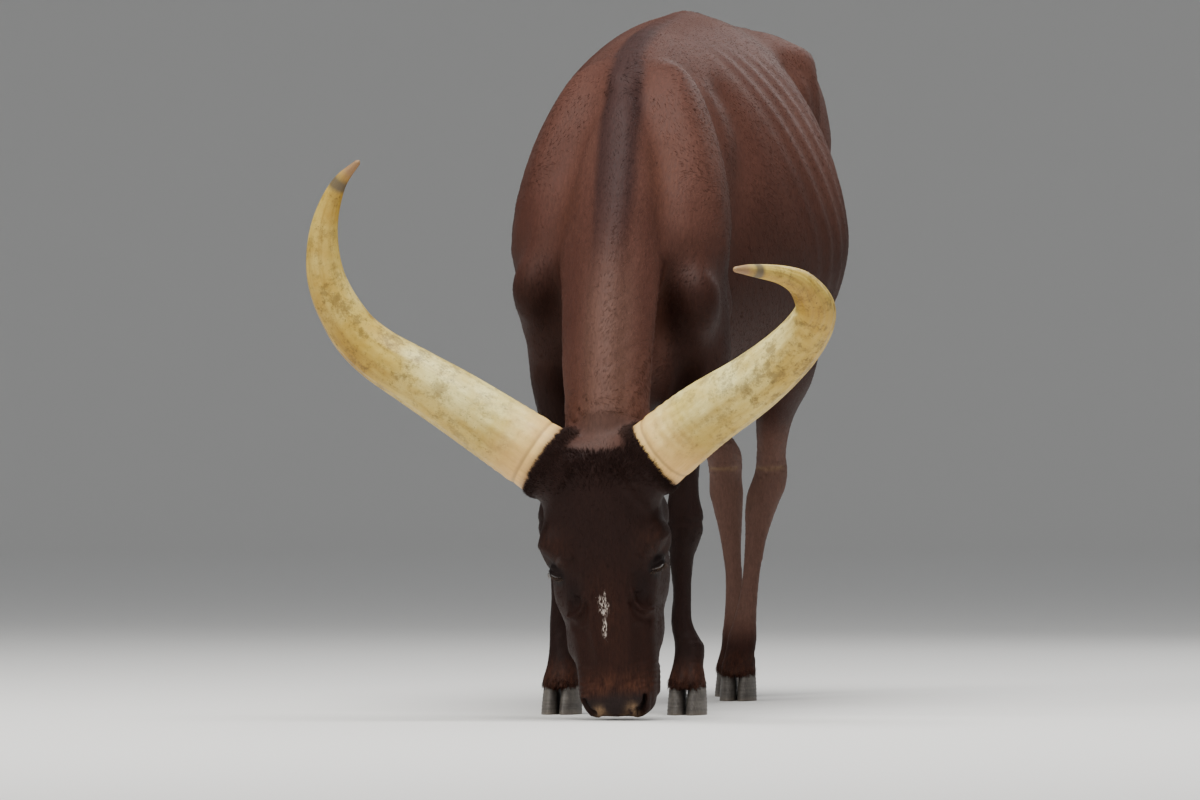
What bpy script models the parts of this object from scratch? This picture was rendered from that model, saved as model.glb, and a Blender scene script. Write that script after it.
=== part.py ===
# Ankole watusi cow, grazing, life size.
# Metres, +Z up, floor at z = 0. The animal faces -Y and its left side is +X.
# Lengths along the body are given from the fore feet and shifted at the end by BODY_SHIFT.

import math

import bmesh
import bpy
import numpy as np
from mathutils import Matrix, Vector

# Driving sizes of the whole animal
BODY_SHIFT = Vector((-0.0144, -0.3570, 0.0))
GAP = 0.0003
FLESH_GRID = 0.0125
FLESH_TRIANGLES = 5150

# Trunk sections: place along the body, spine height, belly height, half width, height of the widest line
BREAST = dict(y=-0.135, top=0.87, low=0.675, wide=0.060, mid=0.77)
BRISKET = dict(y=-0.075, top=1.03, low=0.635, wide=0.105, mid=0.80)
SHOULDER = dict(y=0.040, top=1.170, low=0.615, wide=0.135, mid=0.83)
WITHERS = dict(y=0.190, top=1.232, low=0.612, wide=0.180, mid=0.86)
GIRTH = dict(y=0.350, top=1.264, low=0.600, wide=0.250, mid=0.87)
MID_RIBS = dict(y=0.500, top=1.288, low=0.578, wide=0.298, mid=0.88)
BARREL = dict(y=0.640, top=1.308, low=0.568, wide=0.318, mid=0.885)
LAST_RIB = dict(y=0.780, top=1.315, low=0.580, wide=0.298, mid=0.89)
FLANK = dict(y=0.900, top=1.311, low=0.606, wide=0.245, mid=0.92)
LOIN = dict(y=1.030, top=1.303, low=0.640, wide=0.190, mid=0.95)
CROUP = dict(y=1.160, top=1.312, low=0.680, wide=0.165, mid=0.97)
RUMP = dict(y=1.300, top=1.320, low=0.760, wide=0.135, mid=1.00)
TAIL_HEAD = dict(y=1.400, top=1.322, low=0.900, wide=0.080, mid=1.10)
TAIL_ROOT = dict(y=1.440, top=1.310, low=1.130, wide=0.032, mid=1.24)
TRUNK = (BREAST, BRISKET, SHOULDER, WITHERS, GIRTH, MID_RIBS, BARREL, LAST_RIB,
         FLANK, LOIN, CROUP, RUMP, TAIL_HEAD, TAIL_ROOT)

# Neck sections: crest point, throat point (each along, height), half width, sideways place
NECK_BASE = dict(crest=(0.070, 1.185), throat=(-0.090, 0.680), wide=0.115, x=0.006)
NECK_ROOT = dict(crest=(-0.045, 1.105), throat=(-0.165, 0.670), wide=0.100, x=0.014)
NECK_LOW = dict(crest=(-0.155, 0.968), throat=(-0.205, 0.615), wide=0.090, x=0.024)
NECK_MID = dict(crest=(-0.255, 0.822), throat=(-0.235, 0.555), wide=0.083, x=0.031)
NECK_HIGH = dict(crest=(-0.340, 0.685), throat=(-0.262, 0.495), wide=0.080, x=0.040)
NAPE = dict(crest=(-0.400, 0.570), throat=(-0.288, 0.435), wide=0.080, x=0.050)
POLL = dict(crest=(-0.425, 0.500), throat=(-0.310, 0.385), wide=0.074, x=0.052)
NECK = (NECK_BASE, NECK_ROOT, NECK_LOW, NECK_MID, NECK_HIGH, NAPE, POLL)

# Head: measured down the face from the poll, half width, depth of the face line and of the jaw line
HEAD_TOP = Vector((0.047, -0.470, 0.492))
MUZZLE_TIP = Vector((0.087, -0.425, 0.000))
HEAD_YAW = math.radians(5.5)
HEAD_SECTIONS = (
    dict(down=0.000, wide=0.060, face=-0.030, jaw=-0.105),
    dict(down=0.035, wide=0.088, face=-0.006, jaw=-0.145),
    dict(down=0.100, wide=0.104, face=0.004, jaw=-0.180),
    dict(down=0.165, wide=0.106, face=0.004, jaw=-0.200),
    dict(down=0.225, wide=0.098, face=0.000, jaw=-0.205),
    dict(down=0.275, wide=0.088, face=-0.002, jaw=-0.195),
    dict(down=0.325, wide=0.080, face=-0.004, jaw=-0.165),
    dict(down=0.375, wide=0.073, face=-0.006, jaw=-0.138),
    dict(down=0.425, wide=0.071, face=-0.008, jaw=-0.122),
    dict(down=0.462, wide=0.067, face=-0.012, jaw=-0.114),
    dict(down=0.489, wide=0.054, face=-0.026, jaw=-0.096),
)

# Legs: height, sideways place, place along, half width, half depth
FORE_LEFT = dict(shoulder=0.156, knee=0.1265, cannon=0.1205, foot=0.1345, along=0.0)
FORE_RIGHT = dict(shoulder=-0.121, knee=-0.1075, cannon=-0.1035, foot=-0.0965, along=0.0)
FORE_SECTIONS = (
    dict(z=0.800, at="shoulder", y=0.010, wide=0.040, deep=0.085),
    dict(z=0.690, at="shoulder", y=0.030, wide=0.048, deep=0.098),
    dict(z=0.610, at="shoulder", y=0.022, wide=0.043, deep=0.074),
    dict(z=0.520, at="knee", y=0.004, wide=0.036, deep=0.052),
    dict(z=0.430, at="knee", y=-0.004, wide=0.030, deep=0.038),
    dict(z=0.370, at="knee", y=-0.008, wide=0.034, deep=0.038),
    dict(z=0.325, at="knee", y=-0.006, wide=0.034, deep=0.038),
    dict(z=0.285, at="cannon", y=0.000, wide=0.026, deep=0.030),
    dict(z=0.220, at="cannon", y=0.003, wide=0.020, deep=0.026),
    dict(z=0.165, at="cannon", y=0.002, wide=0.023, deep=0.028),
    dict(z=0.125, at="foot", y=0.000, wide=0.030, deep=0.034),
    dict(z=0.095, at="foot", y=-0.010, wide=0.031, deep=0.035),
    dict(z=0.062, at="foot", y=-0.026, wide=0.035, deep=0.043),
    dict(z=0.040, at="foot", y=-0.032, wide=0.030, deep=0.038),
)
HIND_LEFT = (
    dict(z=0.700, x=0.150, y=0.990, wide=0.058, deep=0.125),
    dict(z=0.620, x=0.146, y=0.992, wide=0.050, deep=0.098),
    dict(z=0.545, x=0.115, y=1.030, wide=0.038, deep=0.072),
    dict(z=0.480, x=0.100, y=1.078, wide=0.031, deep=0.054),
    dict(z=0.430, x=0.094, y=1.096, wide=0.035, deep=0.050),
    dict(z=0.375, x=0.078, y=1.088, wide=0.034, deep=0.042),
    dict(z=0.320, x=0.072, y=1.068, wide=0.025, deep=0.031),
    dict(z=0.240, x=0.068, y=1.034, wide=0.020, deep=0.027),
    dict(z=0.170, x=0.063, y=1.006, wide=0.024, deep=0.029),
    dict(z=0.125, x=0.059, y=0.986, wide=0.031, deep=0.034),
    dict(z=0.095, x=0.058, y=0.968, wide=0.032, deep=0.035),
    dict(z=0.062, x=0.057, y=0.944, wide=0.035, deep=0.043),
    dict(z=0.040, x=0.057, y=0.936, wide=0.030, deep=0.038),
)
HIND_RIGHT = (
    dict(z=0.720, x=-0.140, y=1.080, wide=0.058, deep=0.130),
    dict(z=0.640, x=-0.128, y=1.110, wide=0.050, deep=0.100),
    dict(z=0.565, x=-0.085, y=1.190, wide=0.042, deep=0.078),
    dict(z=0.490, x=-0.041, y=1.305, wide=0.040, deep=0.062),
    dict(z=0.435, x=-0.040, y=1.352, wide=0.034, deep=0.050),
    dict(z=0.380, x=-0.036, y=1.352, wide=0.033, deep=0.042),
    dict(z=0.320, x=-0.028, y=1.342, wide=0.025, deep=0.031),
    dict(z=0.240, x=-0.019, y=1.330, wide=0.020, deep=0.027),
    dict(z=0.170, x=-0.014, y=1.318, wide=0.024, deep=0.029),
    dict(z=0.125, x=-0.011, y=1.308, wide=0.030, deep=0.034),
    dict(z=0.095, x=-0.010, y=1.294, wide=0.031, deep=0.035),
    dict(z=0.062, x=-0.010, y=1.272, wide=0.035, deep=0.043),
    dict(z=0.040, x=-0.010, y=1.264, wide=0.030, deep=0.038),
)

# Hooves
CORONET = 0.062
CLAW = dict(half_width=0.0170, sole_length=0.098, top_length=0.074, apart=0.0182)

# Horns: path points from the root to the tip and the radius at each
HORN_RIGHT = dict(
    path=((0.000, -0.415, 0.427), (-0.054, -0.415, 0.462), (-0.193, -0.425, 0.553), (-0.275, -0.435, 0.603),
          (-0.350, -0.445, 0.650), (-0.396, -0.458, 0.700), (-0.430, -0.475, 0.777), (-0.430, -0.495, 0.861),
          (-0.401, -0.515, 0.938), (-0.357, -0.530, 0.984)),
    radius=(0.060, 0.0645, 0.058, 0.0525, 0.047, 0.0415, 0.0345, 0.0255, 0.0150, 0.0050))
HORN_LEFT = dict(
    path=((0.102, -0.415, 0.430), (0.151, -0.415, 0.467), (0.237, -0.440, 0.531), (0.336, -0.475, 0.593),
          (0.415, -0.510, 0.657), (0.457, -0.560, 0.712), (0.450, -0.630, 0.754), (0.424, -0.690, 0.773),
          (0.383, -0.760, 0.780), (0.356, -0.800, 0.781)),
    radius=(0.060, 0.0640, 0.0605, 0.0535, 0.0455, 0.037, 0.0265, 0.0175, 0.0115, 0.0050))

# Eyes, ears, tail
EYE = dict(side=0.0815, down=0.228, depth=-0.046, radius=0.0215)
EAR = dict(length=0.168, half_width=0.038, half_thick=0.009)
TAIL_PATH = ((0.000, 1.436, 1.285), (0.001, 1.472, 1.245), (0.004, 1.492, 1.150), (0.010, 1.500, 0.980),
             (0.019, 1.500, 0.800), (0.027, 1.496, 0.640), (0.030, 1.494, 0.580))
TAIL_RADIUS = (0.023, 0.025, 0.021, 0.017, 0.014, 0.012, 0.0115)
SWITCH_PATH = ((0.030, 1.4935, 0.5795), (0.031, 1.492, 0.545), (0.031, 1.490, 0.500), (0.030, 1.488, 0.460),
               (0.029, 1.487, 0.425))
SWITCH_RADIUS = (0.012, 0.020, 0.0235, 0.018, 0.006)

# Muscle and bone masses: centre, half sizes, tilt in side view and in front view (degrees).
# Each is mirrored in x; shift moves both of a pair towards the animal's left, where its weight leans.
MASSES = dict(
    blade=dict(at=(0.122, 0.075, 0.985), size=(0.060, 0.115, 0.225), side=-24, front=-15, shift=0.004),
    shoulder_point=dict(at=(0.140, -0.070, 0.768), size=(0.050, 0.066, 0.080), side=0, front=0, shift=0.014),
    shoulder_front=dict(at=(0.100, -0.025, 0.805), size=(0.085, 0.090, 0.185), side=0, front=-8, shift=0.010),
    forearm=dict(at=(0.135, 0.025, 0.690), size=(0.050, 0.085, 0.120), side=0, front=0, shift=0.014),
    upper_arm=dict(at=(0.128, 0.070, 0.735), size=(0.050, 0.115, 0.115), side=20, front=0, shift=0.018),
    hook=dict(at=(0.180, 0.890, 1.212), size=(0.038, 0.060, 0.046), side=0, front=12),
    hook_shelf=dict(at=(0.100, 0.890, 1.235), size=(0.100, 0.160, 0.056), side=0, front=12),
    flank=dict(at=(0.165, 0.880, 1.130), size=(0.072, 0.110, 0.120), side=0, front=0),
    pin=dict(at=(0.070, 1.355, 1.225), size=(0.034, 0.055, 0.046), side=0, front=0),
    rump_side=dict(at=(0.115, 1.150, 1.090), size=(0.088, 0.225, 0.170), side=6, front=0),
    thigh=dict(at=(0.135, 1.120, 0.860), size=(0.078, 0.200, 0.235), side=16, front=4),
    stifle=dict(at=(0.158, 0.955, 0.700), size=(0.050, 0.080, 0.095), side=10, front=0),
    buttock=dict(at=(0.075, 1.300, 0.990), size=(0.060, 0.095, 0.210), side=-8, front=0),
)
UDDER = dict(at=(0.0, 1.010, 0.655), size=(0.070, 0.110, 0.060))
BRISKET_MASS = dict(at=(0.025, 0.020, 0.660), size=(0.105, 0.160, 0.125), side=8.0)
TEMPLE = dict(side=0.080, down=0.148, depth=-0.112, size=(0.033, 0.058, 0.050))
CHEEK = dict(side=0.0615, down=0.245, depth=-0.118, size=(0.042, 0.090, 0.094))
LOW_CHEEK = dict(side=0.054, down=0.330, depth=-0.102, size=(0.0325, 0.065, 0.066))

# Colours measured on the animal
DARK_COAT = (0.030, 0.017, 0.015, 1.0)
BROWN_COAT = (0.085, 0.038, 0.028, 1.0)
LEG_COAT = (0.026, 0.014, 0.012, 1.0)
HORN_COLOUR = (0.62, 0.56, 0.36, 1.0)
HOOF_COLOUR = (0.070, 0.062, 0.056, 1.0)
EYE_COLOUR = (0.012, 0.008, 0.006, 1.0)


def clear_scene():
    for thing in list(bpy.data.objects):
        bpy.data.objects.remove(thing, do_unlink=True)


def new_collection(name):
    group = bpy.data.collections.new(name)
    bpy.context.scene.collection.children.link(group)
    return group


def material(name, colour, rough, sheen=0.0):
    made = bpy.data.materials.new(name)
    made.use_nodes = True
    shader = made.node_tree.nodes["Principled BSDF"]
    shader.inputs["Base Color"].default_value = colour
    shader.inputs["Roughness"].default_value = rough
    shader.inputs["Metallic"].default_value = 0.0
    shader.inputs["Sheen Weight"].default_value = sheen
    made.diffuse_color = colour
    return made


def object_from(name, verts, faces, group):
    mesh = bpy.data.meshes.new(name)
    mesh.from_pydata([tuple(v) for v in verts], [], faces)
    mesh.update()
    made = bpy.data.objects.new(name, mesh)
    group.objects.link(made)
    return made


def ring_loft(name, rings, group):
    # Closed body through rings of equal count, with a flat cap at each end
    count = len(rings[0])
    verts = [point for ring in rings for point in ring]
    faces = []
    for row in range(len(rings) - 1):
        for col in range(count):
            after = (col + 1) % count
            faces.append((row * count + col, row * count + after,
                          (row + 1) * count + after, (row + 1) * count + col))
    faces.append(tuple(reversed(range(count))))
    faces.append(tuple((len(rings) - 1) * count + col for col in range(count)))
    made = object_from(name, verts, faces, group)
    outward(made.data)
    return made


def outward(mesh):
    work = bmesh.new()
    work.from_mesh(mesh)
    bmesh.ops.recalc_face_normals(work, faces=work.faces)
    if work.calc_volume(signed=True) < 0.0:
        bmesh.ops.reverse_faces(work, faces=work.faces)
    work.to_mesh(mesh)
    work.free()


def through(points, steps):
    # Smooth curve through the points, as many samples as steps
    pts = np.array(points, dtype=float)
    if pts.ndim == 1:
        pts = pts[:, None]
    padded = np.vstack([2 * pts[0] - pts[1], pts, 2 * pts[-1] - pts[-2]])
    out = []
    for t in np.linspace(0.0, len(pts) - 1.0, steps):
        i = min(int(t), len(pts) - 2)
        f = t - i
        a, b, c, d = padded[i], padded[i + 1], padded[i + 2], padded[i + 3]
        out.append(0.5 * (2 * b + (c - a) * f + (2 * a - 5 * b + 4 * c - d) * f * f
                          + (3 * b - a - 3 * c + d) * f ** 3))
    return np.array(out)


def oval(count, wide, up, low, power=2.0, pinch=0.0):
    # Oval with its own upper and lower heights; pinch narrows the upper half
    shape = []
    for k in range(count):
        angle = 2.0 * math.pi * k / count
        s, c = math.sin(angle), math.cos(angle)
        x = math.copysign(abs(s) ** (2.0 / power), s) * wide
        z = math.copysign(abs(c) ** (2.0 / power), c)
        x *= 1.0 - pinch * max(z, 0.0)
        shape.append((x, z * (up if z > 0.0 else low)))
    return shape


def trunk_loft(group):
    steps = 3 * len(TRUNK)
    rows = through([(s["y"], s["top"], s["low"], s["wide"], s["mid"]) for s in TRUNK], steps)
    rings = []
    for y, top, low, wide, mid in rows:
        shape = oval(32, wide, top - mid, mid - low, 1.95, 0.10)
        rings.append([(x, y, mid + z) for x, z in shape])
    return ring_loft("trunk_mass", rings, group)


def neck_loft(group):
    steps = 3 * len(NECK)
    rows = through([(*s["crest"], *s["throat"], s["wide"], s["x"]) for s in NECK], steps)
    rings = []
    for crest_y, crest_z, throat_y, throat_z, wide, side in rows:
        crest = Vector((side, crest_y, crest_z))
        throat = Vector((side, throat_y, throat_z))
        centre = throat.lerp(crest, 0.48)
        up = crest - centre
        low = centre - throat
        shape = oval(28, wide, 1.0, 1.0, 2.0, 0.22)
        rings.append([centre + Vector((x, 0, 0)) + (up * z if z > 0 else low * z) for x, z in shape])
    return ring_loft("neck_mass", rings, group)


def head_axes():
    # Down the face, out of the forehead, and to the animal's left
    down = (MUZZLE_TIP - HEAD_TOP).normalized()
    front = Vector((math.sin(HEAD_YAW), -math.cos(HEAD_YAW), 0.0))
    front = (front - down * front.dot(down)).normalized()
    left = down.cross(front)
    if left.x < 0.0:
        left.negate()
    return down, front, left


def head_point(side, down, depth):
    along, front, left = head_axes()
    return HEAD_TOP + left * side + along * down + front * depth


def head_loft(group):
    steps = 3 * len(HEAD_SECTIONS)
    rows = through([(s["down"], s["wide"], s["face"], s["jaw"]) for s in HEAD_SECTIONS], steps)
    rings = []
    for down, wide, face, jaw in rows:
        mid = face * 0.62 + jaw * 0.38
        shape = oval(28, wide, face - mid, mid - jaw, 2.5)
        rings.append([head_point(x, down, mid + z) for x, z in shape])
    return ring_loft("head_mass", rings, group)


def leg_loft(name, sections, group):
    rows = through([(s["z"], s["x"], s["y"], s["wide"], s["deep"]) for s in sections], 3 * len(sections))
    rings = []
    for z, x, y, wide, deep in rows:
        rings.append([(x + px, y + py, z) for px, py in oval(20, wide, deep, deep, 2.1)])
    return ring_loft(name, rings, group)


def fore_sections(leg):
    out = []
    for s in FORE_SECTIONS:
        out.append(dict(z=s["z"], x=leg[s["at"]], y=s["y"] + leg["along"], wide=s["wide"], deep=s["deep"]))
    return out


def ball(name, at, size, group, side=0.0, front=0.0, segments=24, rings=14):
    work = bmesh.new()
    bmesh.ops.create_uvsphere(work, u_segments=segments, v_segments=rings, radius=1.0)
    turn = Matrix.Rotation(math.radians(front), 4, "Y") @ Matrix.Rotation(math.radians(side), 4, "X")
    place = Matrix.Translation(Vector(at)) @ turn @ Matrix.Diagonal((size[0], size[1], size[2], 1.0))
    bmesh.ops.transform(work, matrix=place, verts=work.verts)
    mesh = bpy.data.meshes.new(name)
    work.to_mesh(mesh)
    work.free()
    made = bpy.data.objects.new(name, mesh)
    group.objects.link(made)
    outward(mesh)
    return made


def flesh_masses(group):
    made = [trunk_loft(group), neck_loft(group), head_loft(group)]
    made.append(leg_loft("fore_left_mass", fore_sections(FORE_LEFT), group))
    made.append(leg_loft("fore_right_mass", fore_sections(FORE_RIGHT), group))
    made.append(leg_loft("hind_left_mass", HIND_LEFT, group))
    made.append(leg_loft("hind_right_mass", HIND_RIGHT, group))
    for name, mass in MASSES.items():
        for sign in (1, -1):
            at = (mass["at"][0] * sign + mass.get("shift", 0.0), mass["at"][1], mass["at"][2])
            made.append(ball(f"{name}_{sign}", at, mass["size"], group, mass["side"], mass["front"] * sign))
    made.append(ball("udder", UDDER["at"], UDDER["size"], group))
    made.append(ball("brisket", BRISKET_MASS["at"], BRISKET_MASS["size"], group, BRISKET_MASS["side"]))
    for sign in (1, -1):
        orbit = head_point(0.078 * sign, 0.190, -0.052)
        made.append(ball(f"orbit_{sign}", orbit, (0.040, 0.040, 0.046), group))
        root = head_point(0.070 * sign, 0.030, -0.060)
        made.append(ball(f"horn_boss_{sign}", root, (0.060, 0.066, 0.058), group))
        for label, cheek in (("temple", TEMPLE), ("cheek", CHEEK), ("low_cheek", LOW_CHEEK)):
            spot = head_point(cheek["side"] * sign, cheek["down"], cheek["depth"])
            made.append(ball(f"{label}_{sign}", spot, cheek["size"], group))
        hock_y, hock_x = (1.128, 0.092) if sign > 0 else (1.388, -0.046)
        made.append(ball(f"hock_point_{sign}", (hock_x, hock_y, 0.450), (0.020, 0.026, 0.046), group, -12.0))
    return made


def joined_flesh(group):
    # Masses melted into one closed skin, eased, then thinned to its share of triangles
    whole = merged("flesh", flesh_masses(group), group)
    whole.hide_render = False
    melt = whole.modifiers.new("melt", "REMESH")
    melt.mode = "VOXEL"
    melt.voxel_size = FLESH_GRID
    ease = whole.modifiers.new("ease", "CORRECTIVE_SMOOTH")
    ease.factor = 0.5
    ease.iterations = 6
    ease.smooth_type = "SIMPLE"
    ease.use_only_smooth = True
    thin = whole.modifiers.new("thin", "DECIMATE")
    thin.decimate_type = "COLLAPSE"
    bpy.context.view_layer.update()
    thin.ratio = 1.0
    count = triangles(whole)
    thin.ratio = min(1.0, FLESH_TRIANGLES / count)
    bpy.context.view_layer.update()
    depsgraph = bpy.context.evaluated_depsgraph_get()
    mesh = bpy.data.meshes.new_from_object(whole.evaluated_get(depsgraph))
    bpy.data.objects.remove(whole, do_unlink=True)
    outward(mesh)
    return mesh


def merged(name, things, group):
    # Several closed bodies gathered in one tool
    verts, faces = [], []
    for thing in things:
        start = len(verts)
        verts.extend(v.co.copy() for v in thing.data.vertices)
        faces.extend(tuple(start + i for i in face.vertices) for face in thing.data.polygons)
        bpy.data.objects.remove(thing, do_unlink=True)
    made = object_from(name, verts, faces, group)
    made.display_type = "WIRE"
    made.hide_render = True
    return made


def triangles(thing):
    depsgraph = bpy.context.evaluated_depsgraph_get()
    mesh = thing.evaluated_get(depsgraph).to_mesh()
    mesh.calc_loop_triangles()
    return len(mesh.loop_triangles)


def slab(name, outline, x_low, x_high, grow, group):
    # Side-view outline (along, height) pushed across the body; grow moves every edge outward by that much
    edge = np.array(outline)
    ahead = np.roll(edge, -1, axis=0) - edge
    turn = np.sign(np.sum(edge[:, 0] * np.roll(edge, -1, axis=0)[:, 1] - edge[:, 1] * np.roll(edge, -1, axis=0)[:, 0]))
    normal = np.stack([ahead[:, 1], -ahead[:, 0]], axis=1) * turn
    normal /= np.linalg.norm(normal, axis=1)[:, None]
    before = np.roll(normal, 1, axis=0)
    rows = edge + grow * (normal + before) / (1.0 + np.sum(normal * before, axis=1))[:, None]
    rings = [[(x, y, z) for y, z in rows] for x in (x_low - grow, x_high + grow)]
    made = ring_loft(name, rings, group)
    made.display_type = "WIRE"
    made.hide_render = True
    return made


def half_plane(crest, throat, reach, over):
    # Four-cornered outline whose first edge runs from crest to throat, stretched past both ends
    a, b = np.array(crest), np.array(throat)
    edge = (b - a) / np.linalg.norm(b - a)
    out = np.array((edge[1], -edge[0]))
    if out[0] > 0:
        out = -out
    a = a - edge * over[0]
    b = b + edge * over[1]
    return [tuple(a), tuple(b), tuple(b + out * reach), tuple(a + out * reach)]


def tube(name, path, radius, group, sides=11, steps=20, grow=0.0):
    # Round body carried along a smooth path; the frame turns with it as little as it can
    points = through(path, steps)
    sizes = through(radius, steps)[:, 0] + grow
    heading = np.gradient(points, axis=0)
    heading /= np.linalg.norm(heading, axis=1)[:, None]
    across = np.cross(heading[0], (0.0, 1.0, 0.0))
    rings = []
    for point, ahead, size in zip(points, heading, sizes):
        across = across - ahead * np.dot(across, ahead)
        across /= np.linalg.norm(across)
        upward = np.cross(ahead, across)
        ring = []
        for k in range(sides):
            angle = 2.0 * math.pi * k / sides
            ring.append(point + size * (across * math.cos(angle) + upward * math.sin(angle)))
        rings.append(ring)
    if grow > 0.0:
        rings[0] = [p - heading[0] * grow for p in rings[0]]
        rings[-1] = [p + heading[-1] * grow for p in rings[-1]]
    return ring_loft(name, rings, group)


def ear(name, sign, group, grow=0.0):
    # Leaf-shaped blade, cupped, lying back beside the neck
    root = head_point(0.074 * sign, 0.050, -0.138)
    tip = head_point(0.084 * sign, 0.038, -0.138 - EAR["length"])
    ahead = (tip - root).normalized()
    down, front, left = head_axes()
    flat = (down - ahead * down.dot(ahead)).normalized()
    out = ahead.cross(flat).normalized()
    if out.x * sign < 0.0:
        out.negate()
    rings = []
    for t in np.linspace(-0.06, 1.0, 9):
        swell = math.sin(math.pi * min(1.0, 0.16 + 0.84 * max(t, 0.0)) ** 0.8) ** 0.7
        wide = EAR["half_width"] * max(swell, 0.10) + grow
        thick = EAR["half_thick"] * (1.25 - 0.75 * max(t, 0.0)) + grow
        centre = root + ahead * (EAR["length"] * t) + out * (0.014 * math.sin(math.pi * max(t, 0.0)))
        ring = []
        for x, z in oval(12, wide, thick, thick, 2.0):
            cup = 0.30 * x * x / EAR["half_width"]
            ring.append(centre + flat * x + out * (z + cup))
        rings.append(ring)
    return ring_loft(name, rings, group)


def claw(name, foot_x, foot_y, turn, side, group):
    # One toe of the cloven foot: flat sole, rounded wall, top cut level at the coronet
    rings = []
    sole, top = CLAW["sole_length"], CLAW["top_length"]
    for z, length, width, back in ((0.0, sole, 1.0, 0.0), (0.026, sole - 0.006, 1.02, 0.002),
                                   (CORONET - GAP, top, 0.95, 0.010)):
        ring = []
        for x, y in oval(12, CLAW["half_width"] * width, length / 2, length / 2, 2.3):
            toe = max(-y, 0.0) / (length / 2)
            x = x * (1.0 - 0.30 * toe ** 2) - side * 0.004 * toe
            px = side * CLAW["apart"] + x
            py = y + back - 0.006
            ring.append((foot_x + px * math.cos(turn) - py * math.sin(turn),
                         foot_y + px * math.sin(turn) + py * math.cos(turn), z))
        rings.append(ring)
    return ring_loft(name, rings, group)


def cut(node, tool, operation):
    step = node.modifiers.new(tool.name, "BOOLEAN")
    step.operation = operation
    step.solver = "EXACT"
    step.object = tool


def node_of(name, mesh, group):
    made = bpy.data.objects.new(name, mesh.copy())
    made.data.name = name
    group.objects.link(made)
    return made


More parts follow.
